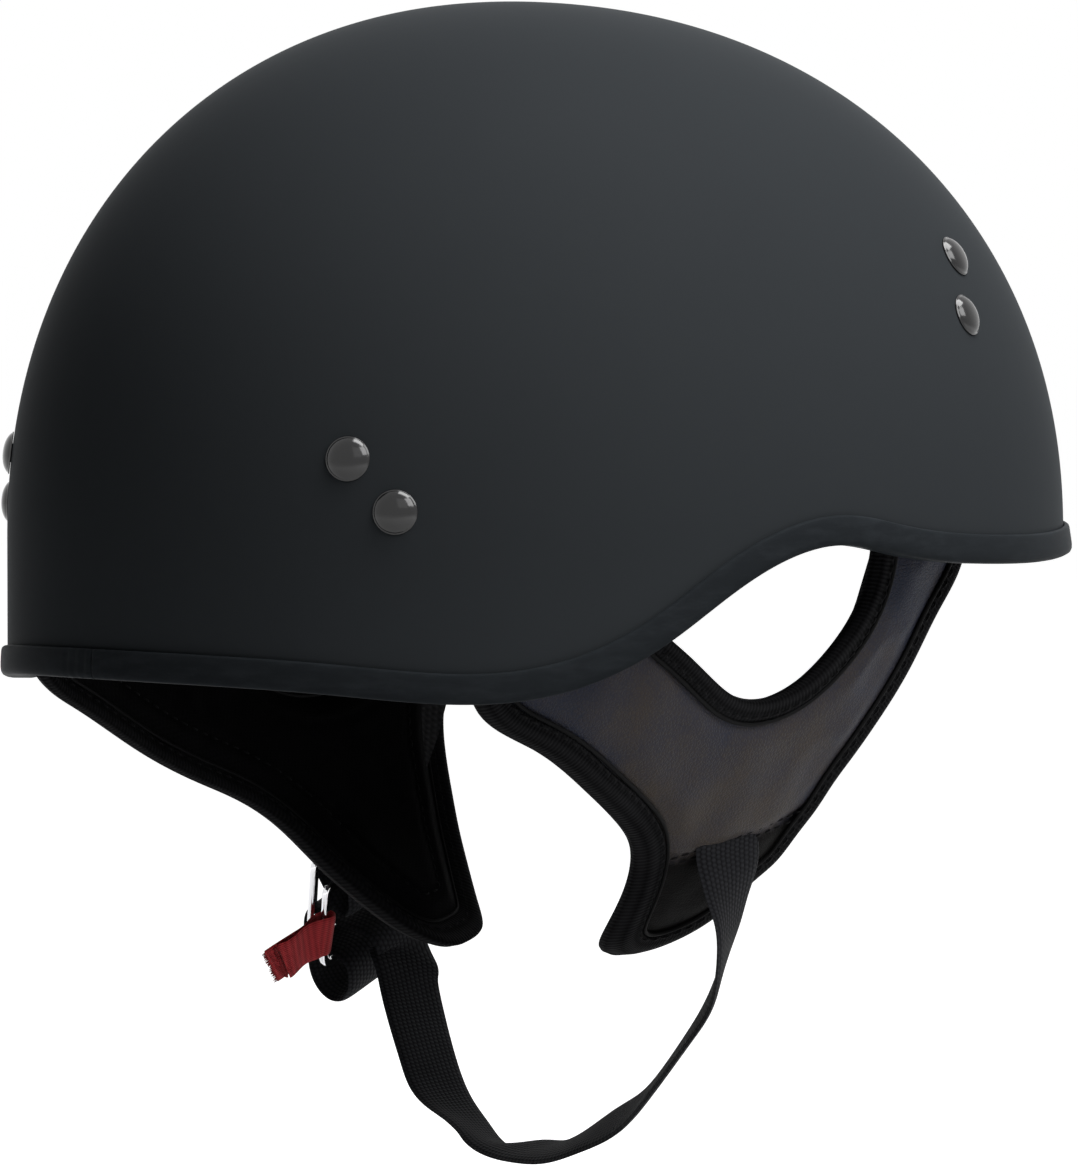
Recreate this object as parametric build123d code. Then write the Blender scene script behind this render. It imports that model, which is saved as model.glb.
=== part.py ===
"""Half shell motorcycle helmet with strapped ear flaps and a double D-ring buckle.

The helmet faces -Y, the rider's right is -X and +Z is up.  The origin is the middle of the
wearer's head, on the level where the shell is widest.
"""
from build123d import *

import os
from math import asin, cos, degrees, radians, sin, sqrt

# Shell: the bowl's outer face and its wall
HALF_WIDTH = 112.0
FRONT_LENGTH = 145.0
REAR_LENGTH = 124.0
DOME_HEIGHT = 126.0
DOME_POWER = 2.135
DOME_STEPS = 8
SKIRT_SHARE = 0.45
SHELL_WALL = 3.5
OVERRUN = 60.0

# Rim trim: a moulded channel pushed over the shell's edge
TRIM_WALL = 1.6
TRIM_HEIGHT = 6.8
TRIM_FIT = 0.1
TRIM_JOINT_GAP = 0.4
RIM_STEPS = 36
# Trim's lower edge: (share of the rear or front length, share of the dome's height)
RIM_REAR_SHARES = (
    (1.10, -0.231), (0.98, -0.238), (0.86, -0.250), (0.71, -0.267), (0.59, -0.259), (0.45, -0.211),
    (0.36, -0.158), (0.25, -0.082), (0.13, -0.021),
)
RIM_FRONT_SHARES = (
    (0.01, 0.002), (-0.12, -0.017), (-0.26, -0.035), (-0.40, -0.042), (-0.60, -0.044), (-0.80, -0.034),
    (-1.10, -0.020),
)

# Energy-absorbing liner, and the comfort pads inside it
LINER_FIT = 0.4
LINER_INSET = SHELL_WALL + LINER_FIT
LINER_WALL = 20.0
LINER_RIM_GAP = 0.5
POCKET_FIT = 0.8
PAD_FIT = 0.3
PAD_THICKNESS = 6.0
PAD_TOP_SHARE = 0.40
PAD_GAP = 3.0
PAD_RIM_RISE = 4.0
PAD_FRONT_SHARE = -0.42
PAD_REAR_SHARE = 0.47
CROWN_PAD_SHARE = 0.42

# Webbing
STRAP_WIDTH = 20.0
STRAP_WALL = 1.5
STRAP_FIT = 0.35

# Ear flaps: each lies on a sheet curved both ways, given at its outer face
SHEET_RADIUS = 135.0
SHEET_INSET = 17.1
SHEET_RISE = 14.6
SHEET_SPIN_EXTRA = 89.9
SHEET_CENTRE_Y = 2.0
SHEET_DROP_ANGLE = 66.0
SHEET_TOP_ANGLE = 8.0
FLAP_LEATHER = 1.2
FLAP_FOAM = 4.6
FLAP_LINING = 0.8
BINDING_WIDTH = 5.0
BINDING_WALL = 0.8
BINDING_FIT = 0.05
FLAP_TUCK = 16.0
FLAP_DROP = 97.0
SLOT_TILT = 13.6
SLOT_FIT = 0.6
SLOT_SHARE = (-0.066, -0.722)
REBATE_SHARES = (-0.58, 0.68)
# Flap outline in the side view: (share of the shell's rear length, share of the flap's drop)
FLAP_EDGE_SHARES = (
    (0.645, -0.103), (0.637, -0.258), (0.594, -0.359), (0.473, -0.446), (0.335, -0.552),
    (0.236, -0.633), (0.171, -0.703), (0.144, -0.763), (0.127, -0.837), (0.104, -0.918),
    (0.073, -0.974), (0.024, -0.998), (-0.024, -1), (-0.094, -0.988), (-0.15, -0.964),
    (-0.184, -0.93), (-0.215, -0.835), (-0.242, -0.742), (-0.266, -0.649), (-0.29, -0.567),
    (-0.339, -0.454), (-0.411, -0.299), (-0.468, -0.165), (-0.524, -0.052), (-0.548, 0.082),
)
EAR_HOLE_SHARES = (
    (-0.226, 0.052), (-0.218, -0.021), (-0.206, -0.103), (-0.177, -0.191), (-0.135, -0.258),
    (-0.066, -0.33), (0.017, -0.364), (0.06, -0.358), (0.127, -0.312), (0.192, -0.256),
    (0.236, -0.22), (0.298, -0.165), (0.355, -0.082),
)

# Strap legs: (length share, height share) down the bowl, then (length share, drop share) in the flap
LEG_GAP = 0.6
LEG_INSET = SHELL_WALL + LEG_GAP + STRAP_WALL / 2
LEG_DEPTH = 4.4
FRONT_LEG_BOWL_SHARES = (
    (-0.443, 0.622), (-0.43, 0.572), (-0.416, 0.522), (-0.402, 0.468), (-0.388, 0.413),
    (-0.368, 0.31), (-0.352, 0.215),
)
FRONT_LEG_FLAP_SHARES = (
    (-0.387, 0.113), (-0.363, 0), (-0.323, -0.165), (-0.29, -0.33), (-0.21, -0.485),
    (-0.129, -0.598),
)
REAR_LEG_BOWL_SHARES = (
    (0.89, 0.282), (0.856, 0.22), (0.822, 0.159), (0.798, 0.113), (0.773, 0.067), (0.728, -0.02),
)
REAR_LEG_FLAP_SHARES = (
    (0.565, -0.196), (0.492, -0.263), (0.339, -0.371), (0.194, -0.505), (0.04, -0.624),
)

# Webbing sewn to both legs, that comes out of the slot
EXIT_DEPTH = 2.42
EXIT_LENGTH = 2.3
EXIT_DROPS = (-1.5, 2.1)
EXIT_INSIDE_SHARES = (
    (-0.044, -0.515), (-0.052, -0.588), (-0.06, -0.652),
)

# Rivets that hold the strap legs to the shell
RIVET_HEAD_RADIUS = 5.4
RIVET_HEAD_RISE = 2.3
RIVET_RIM = 0.5
RIVET_SHANK_RADIUS = 2.2
RIVET_FIT = 0.1
RIVET_TAIL_RADIUS = 3.4
RIVET_TAIL_RISE = 0.9
WASHER_RADIUS = 5.0
WASHER_WALL = 0.8
WASHER_FIT = 0.35
FRONT_RIVET_SHARES = ((-0.416, 0.522), (-0.388, 0.413))
REAR_RIVET_SHARES = ((0.822, 0.159), (0.773, 0.067))

# Clips that pin the flaps' upper ends into the liner
CLIP_CAP_RADIUS = 4.5
CLIP_CAP_WALL = 1.3
CLIP_POST_RADIUS = 1.5
CLIP_FIT = 0.15
CLIP_GRIP = 5.0
CLIP_SHARES = ((-0.376, 0.062), (0.565, -0.212))

# Chin strap: shares of the half span, of the hang and of the hang, then the width's direction
STRAP_HALF_SPAN = 66.0
STRAP_HANG = 77.0
CHIN_SHARES = (
    (-1.0095, 0.003, -0.065, 0, -0.972, 0.235), (-1.009, -0.004, -0.123, 0.04, -0.97, 0.22),
    (-0.994, -0.01, -0.194, 0.28, -0.95, 0.14), (-0.973, -0.01, -0.272, 0.45, -0.89, 0.08),
    (-0.945, -0.01, -0.352, 0.52, -0.85, 0.05), (-0.894, -0.01, -0.44, 0.56, -0.83, 0.02),
    (-0.824, -0.004, -0.535, 0.54, -0.84, 0.06), (-0.736, 0.003, -0.623, 0.48, -0.865, 0.13),
    (-0.626, 0.009, -0.727, 0.36, -0.91, 0.2), (-0.503, 0.016, -0.816, 0.25, -0.93, 0.26),
    (-0.336, 0.016, -0.904, 0.12, -0.94, 0.31), (-0.142, 0.016, -0.971, 0.05, -0.945, 0.33),
    (0.083, 0.016, -1, 0.02, -0.945, 0.33), (0.236, 0.009, -0.992, 0.02, -0.945, 0.33),
    (0.364, 0.003, -0.966, 0.04, -0.95, 0.32), (0.462, -0.008, -0.927, 0.06, -0.95, 0.31),
    (0.568, -0.023, -0.87, 0.1, -0.955, 0.28), (0.668, -0.045, -0.8, 0.14, -0.955, 0.26),
    (0.823, -0.095, -0.672, 0.19, -0.94, 0.28), (0.948, -0.14, -0.545, 0.22, -0.925, 0.31),
)

# Buckle plane: its outward direction, and the direction of the strap's width
BUCKLE_OUT = 1.15
BUCKLE_LEAN_SHARES = (0.929, 0.315, 0.207)
BUCKLE_WIDTH_SHARES = (0.240, -0.915, 0.328)
BUCKLE_DROP = 50.0
# Straps through the buckle: (outward, up) as shares of the buckle's drop
CHIN_BUCKLE_SHARES = (
    (-0.208, -0.73), (-0.202, -0.66), (-0.184, -0.596), (-0.146, -0.556), (-0.09, -0.538),
    (0, -0.532), (0.08, -0.524), (0.148, -0.502), (0.188, -0.494), (0.224, -0.512), (0.24, -0.552),
    (0.242, -0.62), (0.232, -0.668), (0.204, -0.698), (0.164, -0.705), (0.09, -0.706),
    (0.032, -0.718), (-0.004, -0.752), (-0.018, -0.804), (-0.016, -0.872), (0.006, -0.928),
    (0.048, -0.962), (0.096, -0.966), (0.144, -0.944), (0.186, -0.896), (0.212, -0.832),
    (0.222, -0.764),
)
SHORT_STRAP_SHARES = (
    (0.032, -0.092), (0.092, -0.114), (0.152, -0.144), (0.186, -0.188), (0.178, -0.248),
    (0.136, -0.324), (0.094, -0.398), (0.048, -0.46), (0.012, -0.478), (-0.016, -0.46),
    (-0.026, -0.4), (-0.024, -0.28), (-0.014, -0.192), (0.01, -0.146), (0.044, -0.135),
)

# Rings: stamped, each hanging by its straight bar
RING_HEIGHT = 24.6
RING_BAR = 2.4
RING_PLATE = 1.6
RING_SIDE_FIT = 1.3
RING_CORNER = 5.5
RING_TOP_CORNER = 1.2
RING_EDGE = 0.35
OUTER_SEAT_SHARES = (0.136, -0.198)
OUTER_RING_TILT = 4.5
INNER_SEAT_SHARES = (0.068, -0.322)
INNER_RING_TILT = 4.1

# Pull tab: a ribbon looped round the inner ring's rear arm
TAB_WIDTH = 10.5
TAB_WALL = 0.5
TAB_LENGTH = 18.0
TAB_FIT = 0.25
TAB_SHARE = -0.5
TAB_ANGLE = 15.0


class Dome:
    """The smooth bowl that every hard layer follows, measured inward from the shell's outer face."""

    def __init__(self):
        self.bodies = {}
        self.front_unit = self.unit_half(front=True)
        self.rear_unit = self.unit_half(front=False)

    @staticmethod
    def unit_half(front):
        """Half a bowl of radius and height 1, with a straight skirt below it."""
        steps = [radians(90.0 * k / DOME_STEPS) for k in range(DOME_STEPS + 1)]
        points = [(cos(a) ** (2 / DOME_POWER), 0, sin(a) ** (2 / DOME_POWER)) for a in steps]
        points[-1] = (0, 0, 1)
        bowl = Spline(*points, tangents=((0, 0, 1), (-1, 0, 0)))
        skirt = Polyline((0, 0, 1), (0, 0, -SKIRT_SHARE), (1, 0, -SKIRT_SHARE), (1, 0, 0))
        turn = -180 if front else 180
        return revolve(make_face([bowl, skirt]), axis=Axis.Z, revolution_arc=turn)

    def solid(self, inset):
        """The bowl filled in, its face lying inset inside the shell's outer face."""
        if inset not in self.bodies:
            width = HALF_WIDTH - inset
            height = DOME_HEIGHT - inset
            front = scale(self.front_unit, by=(width, FRONT_LENGTH - inset, height))
            rear = scale(self.rear_unit, by=(width, REAR_LENGTH - inset, height))
            self.bodies[inset] = front + rear
        return self.bodies[inset]

    def layer(self, outer_inset, inner_inset):
        """The bowl-shaped wall between two insets."""
        return self.solid(outer_inset) - self.solid(inner_inset)

    @staticmethod
    def point(side, y, z, inset):
        """A place on the bowl seen from one side, and the outward normal there."""
        width = HALF_WIDTH - inset
        length = (FRONT_LENGTH if y < 0 else REAR_LENGTH) - inset
        height = DOME_HEIGHT - inset
        level = max(z, 0.0) / height
        girth = (1 - level ** DOME_POWER) ** (1 / DOME_POWER)
        x = side * width * sqrt(girth ** 2 - (y / length) ** 2)
        slope = level ** (DOME_POWER - 1) / height * girth ** (2 - DOME_POWER)
        return Vector(x, y, z), Vector(x / width ** 2, y / length ** 2, slope).normalized()


class Sheet:
    """The curved sheet of one ear flap: an upright arc swung round an upright line."""

    def __init__(self, side):
        self.side = side
        self.arc_x = HALF_WIDTH - SHEET_INSET - SHEET_RADIUS
        self.axis_x = self.arc_x - SHEET_SPIN_EXTRA

    def slab(self, outer_depth, inner_depth):
        """The part of the sheet between two depths under its outer face."""
        start = -SHEET_DROP_ANGLE
        turn = SHEET_DROP_ANGLE + SHEET_TOP_ANGLE
        centre = (self.arc_x, SHEET_RISE)
        big = CenterArc(centre, SHEET_RADIUS - outer_depth, start, turn)
        small = CenterArc(centre, SHEET_RADIUS - inner_depth, start, turn)
        profile = Plane.XZ * make_face([big, small, Line(big @ 0, small @ 0), Line(big @ 1, small @ 1)])
        axis = Axis((self.axis_x, 0, 0), (0, 0, 1))
        half_turn = degrees(asin(REAR_LENGTH / (HALF_WIDTH - self.axis_x)))
        swung = revolve(profile.rotate(axis, -half_turn), axis=axis, revolution_arc=2 * half_turn)
        placed = Location((0, SHEET_CENTRE_Y, 0)) * swung
        return placed if self.side > 0 else mirror(placed, about=Plane.YZ)

    def point(self, y, z, depth):
        """A place on the sheet at a depth under its outer face, and the outward normal there."""
        radius = SHEET_RADIUS - depth
        level = z - SHEET_RISE
        swell = sqrt(radius ** 2 - level ** 2)
        reach = self.arc_x + swell - self.axis_x
        out = sqrt(reach ** 2 - (y - SHEET_CENTRE_Y) ** 2)
        flat = swell / radius
        normal = Vector(self.side * out / reach * flat, (y - SHEET_CENTRE_Y) / reach * flat, level / radius)
        return Vector(self.side * (self.axis_x + out), y, z), normal


def rim_points():
    """The trim's lower edge in the side view, from the nape to the brow."""
    rear = [(y * REAR_LENGTH, z * DOME_HEIGHT) for y, z in RIM_REAR_SHARES]
    front = [(y * FRONT_LENGTH, z * DOME_HEIGHT) for y, z in RIM_FRONT_SHARES]
    return rear + front


def moved_line(base, amount, steps=RIM_STEPS):
    """A side view curve moved square to itself, to the right of its direction."""
    if amount == 0:
        return base
    moved = []
    for k in range(steps + 1):
        share = k / steps
        here = base @ share
        along = base % share
        moved.append((here.X + amount * along.Y, here.Y - amount * along.X))
    return Spline(*moved)


def side_prism(face, side=0):
    """A side view face carried across the helmet, or over one side of it only."""
    placed = Plane.YZ * face
    reach = HALF_WIDTH + OVERRUN
    if side == 0:
        return extrude(placed, amount=reach, both=True)
    return extrude(placed, amount=side * reach)


def below_rim(lift, side=0):
    """All that lies below the rim's curve, moved up by lift."""
    line = moved_line(Spline(*rim_points()), lift)
    low = -DOME_HEIGHT - OVERRUN
    start = line @ 0
    end = line @ 1
    close = Polyline((end.X, end.Y), (end.X, low), (start.X, low), (start.X, start.Y))
    return side_prism(make_face([line, close]), side)


def block(x_range, y_range, z_range):
    """A box between six planes."""
    size = [high - low for low, high in (x_range, y_range, z_range)]
    middle = [(high + low) / 2 for low, high in (x_range, y_range, z_range)]
    return Location(tuple(middle)) * Box(*size)


def webbing(stations, width=STRAP_WIDTH, wall=STRAP_WALL):
    """A flat strap through stations of a middle point and the direction of its width."""
    points = [p for p, _ in stations]
    sections = []
    for k, (point, across) in enumerate(stations):
        before = points[max(k - 1, 0)]
        after = points[min(k + 1, len(points) - 1)]
        along = (after - before).normalized()
        square = (across - along * across.dot(along)).normalized()
        plane = Plane(origin=point, x_dir=square, z_dir=along)
        sections.append(plane * Rectangle(width, wall))
    return loft(sections, ruled=True)


def with_widths(places):
    """Strap stations for places on a surface, each given with the surface's normal."""
    points = [p for p, _ in places]
    stations = []
    for k, (point, normal) in enumerate(places):
        before = points[max(k - 1, 0)]
        after = points[min(k + 1, len(points) - 1)]
        stations.append((point, normal.cross(after - before).normalized()))
    return stations


def leg_stations(side, front):
    """A strap leg from above its rivets, down inside the shell and into the ear flap."""
    sheet = Sheet(side)
    bowl_shares = FRONT_LEG_BOWL_SHARES if front else REAR_LEG_BOWL_SHARES
    flap_shares = FRONT_LEG_FLAP_SHARES if front else REAR_LEG_FLAP_SHARES
    length = FRONT_LENGTH if front else REAR_LENGTH
    places = []
    for y, z in bowl_shares:
        point, normal = Dome.point(side, y * length, z * DOME_HEIGHT, 0)
        places.append((point - normal * LEG_INSET, normal))
    for y, z in flap_shares:
        places.append(sheet.point(y * REAR_LENGTH, z * FLAP_DROP, LEG_DEPTH))
    return with_widths(places)


def exit_point(side):
    """The middle of the strap slot, on the flap's outer face."""
    return Sheet(side).point(SLOT_SHARE[0] * REAR_LENGTH, SLOT_SHARE[1] * FLAP_DROP, 0)[0]


def exit_stations(side):
    """The short piece of webbing sewn to both legs inside a flap, and its way out of the slot."""
    sheet = Sheet(side)
    places = [sheet.point(y * REAR_LENGTH, z * FLAP_DROP, EXIT_DEPTH) for y, z in EXIT_INSIDE_SHARES]
    stations = with_widths(places)
    slot = exit_point(side)
    across = stations[-1][1]
    tilted = Vector(0, -cos(radians(SLOT_TILT)), sin(radians(SLOT_TILT)))
    tilted = tilted if across.dot(tilted) > 0 else -tilted
    for drop in EXIT_DROPS:
        stations.append((slot + Vector(0, 0, -drop * EXIT_LENGTH), tilted))
    return stations


def flap_faces():
    """Side outlines of an ear flap: whole, less the tape's wall, and less the tape's width."""
    def placed(shares):
        return [(y * REAR_LENGTH, z * FLAP_DROP) for y, z in shares]

    edge = Spline(*placed(FLAP_EDGE_SHARES))
    hole = Spline(*placed(EAR_HOLE_SHARES))
    top = FLAP_TUCK * 2
    faces = []
    for inset in (0, BINDING_WALL, BINDING_WIDTH):
        outer = moved_line(edge, inset)
        inner = moved_line(hole, inset)
        front = Polyline(outer @ 1, ((outer @ 1).X, top), ((inner @ 0).X, top), inner @ 0)
        rear = Polyline(inner @ 1, ((inner @ 1).X, top), ((outer @ 0).X, top), outer @ 0)
        faces.append(make_face([outer, front, inner, rear]))
    return faces


def rivet_places(side):
    """The rivets' places on the shell's outer face, with the outward normals."""
    front = [(y * FRONT_LENGTH, z * DOME_HEIGHT) for y, z in FRONT_RIVET_SHARES]
    rear = [(y * REAR_LENGTH, z * DOME_HEIGHT) for y, z in REAR_RIVET_SHARES]
    return [Dome.point(side, y, z, 0) for y, z in front + rear]


def clip_places(side):
    """The flap clips' places on the flap's sheet, with the outward normals."""
    sheet = Sheet(side)
    stack = FLAP_LEATHER + FLAP_FOAM + FLAP_LINING
    return [sheet.point(y * REAR_LENGTH, z * FLAP_DROP, stack) for y, z in CLIP_SHARES]


def turned(profile, places):
    """One turned piece for each place, its axis along the normal there."""
    spun = revolve(make_face(profile), axis=Axis.Z)
    return [Plane(origin=point, z_dir=normal).location * spun for point, normal in places]


def pins(places, radius, inward, outward):
    """One round cutter for each place, from inward below the face to outward above it."""
    pin = Location((0, 0, (outward - inward) / 2)) * Cylinder(radius, outward + inward)
    return [Plane(origin=point, z_dir=normal).location * pin for point, normal in places]


def rivet_profile():
    """Half a rivet: the domed head outside, the shank, and the spread tail inside."""
    tail_top = -(LEG_INSET + STRAP_WALL / 2 + WASHER_FIT + WASHER_WALL + RIVET_FIT)
    tail_end = tail_top - RIVET_TAIL_RISE
    outline = Polyline((0, 0, tail_end), (RIVET_TAIL_RADIUS, 0, tail_end), (RIVET_TAIL_RADIUS, 0, tail_top),
                       (RIVET_SHANK_RADIUS, 0, tail_top), (RIVET_SHANK_RADIUS, 0, RIVET_FIT),
                       (RIVET_HEAD_RADIUS, 0, RIVET_FIT), (RIVET_HEAD_RADIUS, 0, RIVET_RIM))
    swell = Spline((RIVET_HEAD_RADIUS, 0, RIVET_RIM), (0, 0, RIVET_HEAD_RISE), tangents=((0, 0, 1), (-1, 0, 0)))
    return [outline, swell, Line((0, 0, RIVET_HEAD_RISE), (0, 0, tail_end))]


def washer_profile():
    """Half a washer, lying on the inner face of a strap leg."""
    top = -(LEG_INSET + STRAP_WALL / 2 + WASHER_FIT)
    hole = RIVET_SHANK_RADIUS + RIVET_FIT
    low = top - WASHER_WALL
    return [Polyline((hole, 0, low), (WASHER_RADIUS, 0, low), (WASHER_RADIUS, 0, top), (hole, 0, top), close=True)]


def clip_profile():
    """Half a flap clip: a flat cap on the lining and a pointed post that grips the liner."""
    deep = FLAP_LEATHER + FLAP_FOAM + FLAP_LINING + CLIP_GRIP
    tip = deep + CLIP_POST_RADIUS
    return [Polyline((0, 0, -CLIP_CAP_WALL), (CLIP_CAP_RADIUS, 0, -CLIP_CAP_WALL), (CLIP_CAP_RADIUS, 0, -CLIP_FIT),
                     (CLIP_POST_RADIUS, 0, -CLIP_FIT), (CLIP_POST_RADIUS, 0, deep), (0, 0, tip), close=True)]


def flap_parts(side):
    """Leather, foam, lining and the two edge tapes of one ear flap."""
    sheet = Sheet(side)
    stack = FLAP_LEATHER + FLAP_FOAM + FLAP_LINING
    tucked = below_rim(FLAP_TUCK, side)
    whole, core, middle = [side_prism(face, side) & tucked for face in flap_faces()]
    slot = webbing(exit_stations(side), STRAP_WIDTH + 2 * SLOT_FIT, STRAP_WALL + 2 * SLOT_FIT)
    holes = pins(clip_places(side), CLIP_POST_RADIUS + CLIP_FIT, CLIP_CAP_WALL, stack + CLIP_GRIP)
    leather = (sheet.slab(0, FLAP_LEATHER) & core) - slot - holes
    foam = (sheet.slab(FLAP_LEATHER, FLAP_LEATHER + FLAP_FOAM) & core) - slot - holes
    for front in (True, False):
        foam -= webbing(leg_stations(side, front), STRAP_WIDTH + 2 * STRAP_FIT, STRAP_WALL + 2 * STRAP_FIT)
    lining = (sheet.slab(FLAP_LEATHER + FLAP_FOAM, stack) & core) - holes
    tape = (sheet.slab(-BINDING_WALL, stack + BINDING_WALL) & whole) - middle
    tape -= sheet.slab(-BINDING_FIT, stack + BINDING_FIT) & core
    tape -= webbing(leg_stations(side, False), STRAP_WIDTH + 2 * STRAP_FIT, STRAP_WALL + 2 * STRAP_FIT)
    ear_tape, edge_tape = tape.solids().sort_by(SortBy.AREA)[-2:]
    parts = {"leather": leather, "foam": foam, "lining": lining}
    return parts | {"edge_tape": edge_tape, "ear_tape": ear_tape}


def buckle_frame():
    """The buckle's plane: X outward from the wearer, Y up, and Z along the strap's width."""
    width = Vector(*BUCKLE_WIDTH_SHARES).normalized()
    lean = Vector(*BUCKLE_LEAN_SHARES)
    outward = (lean - width * lean.dot(width)).normalized()
    middle = exit_point(1) + Vector(BUCKLE_OUT, 0, 0)
    return Plane(origin=middle, x_dir=outward, z_dir=width), width


def buckle_stations(shares):
    """Strap stations in the buckle's plane, given as shares of the buckle's drop."""
    frame, width = buckle_frame()
    return [(frame.from_local_coords(Vector(o * BUCKLE_DROP, v * BUCKLE_DROP, 0)), width) for o, v in shares]


def chin_stations():
    """The chin strap from the right flap, under the chin and through both rings."""
    start = exit_point(-1)
    stations = []
    for x, y, z, wx, wy, wz in CHIN_SHARES:
        place = Vector(x * STRAP_HALF_SPAN, start.Y + y * STRAP_HANG, start.Z + z * STRAP_HANG)
        stations.append((place, Vector(wx, wy, wz).normalized()))
    return stations + buckle_stations(CHIN_BUCKLE_SHARES)


def ring_frame(seat, tilt):
    """A ring's plane: X rearward along the strap's width, Y up, and Z outward."""
    frame, width = buckle_frame()
    place = frame.from_local_coords(Vector(seat[0] * BUCKLE_DROP, seat[1] * BUCKLE_DROP, 0))
    lean = frame.x_dir * cos(radians(tilt)) + frame.y_dir * sin(radians(tilt))
    return Plane(origin=place, x_dir=-width, z_dir=lean)


def ring(seat, tilt):
    """A stamped D-ring whose straight bar lies on its seat."""
    inner_half = STRAP_WIDTH / 2 + RING_SIDE_FIT
    half = inner_half + RING_BAR
    top = RING_BAR / 2
    middle_y = top - RING_HEIGHT / 2
    outer = Location((0, middle_y)) * Rectangle(2 * half, RING_HEIGHT)
    outer = fillet(outer.vertices().group_by(Axis.Y)[0], RING_CORNER)
    outer = fillet(outer.vertices().group_by(Axis.Y)[-1], RING_TOP_CORNER)
    inner = Location((0, middle_y)) * Rectangle(2 * inner_half, RING_HEIGHT - 2 * RING_BAR)
    inner = fillet(inner.vertices().group_by(Axis.Y)[0], RING_CORNER - RING_BAR)
    plate = extrude(outer - inner, amount=RING_PLATE / 2, both=True)
    plate = chamfer(plate.edges().group_by(Axis.Z)[0] + plate.edges().group_by(Axis.Z)[-1], RING_EDGE)
    return ring_frame(seat, tilt).location * plate


def pull_tab():
    """A ribbon folded round the inner ring's rear arm, its two ends sewn together."""
    frame = ring_frame(INNER_SEAT_SHARES, INNER_RING_TILT)
    arm = STRAP_WIDTH / 2 + RING_SIDE_FIT + RING_BAR / 2
    half_w = RING_BAR / 2 + TAB_FIT
    half_t = RING_PLATE / 2 + TAB_FIT
    loop_out = Rectangle(2 * (half_w + TAB_WALL), 2 * (half_t + TAB_WALL))
    loop_in = Rectangle(2 * half_w, 2 * half_t)
    tail = Location((half_w + TAB_LENGTH / 2, 0)) * Rectangle(TAB_LENGTH, 2 * TAB_WALL)
    shape = (loop_out + Rotation(0, 0, -TAB_ANGLE) * tail) - loop_in
    plane = Plane(origin=frame.from_local_coords(Vector(arm, TAB_SHARE * RING_HEIGHT, 0)),
                  x_dir=frame.x_dir, z_dir=frame.y_dir)
    return extrude(plane * shape, amount=TAB_WIDTH / 2, both=True)


def band(face_inset, pad_lift, top_z):
    """The pads' zone inside the liner: above the rim and below a level."""
    high = DOME_HEIGHT * top_z
    reach = FRONT_LENGTH + OVERRUN
    ring_zone = block((-reach, reach), (-reach, reach), (-reach, high))
    return (face_inset & ring_zone) - below_rim(pad_lift)


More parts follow.
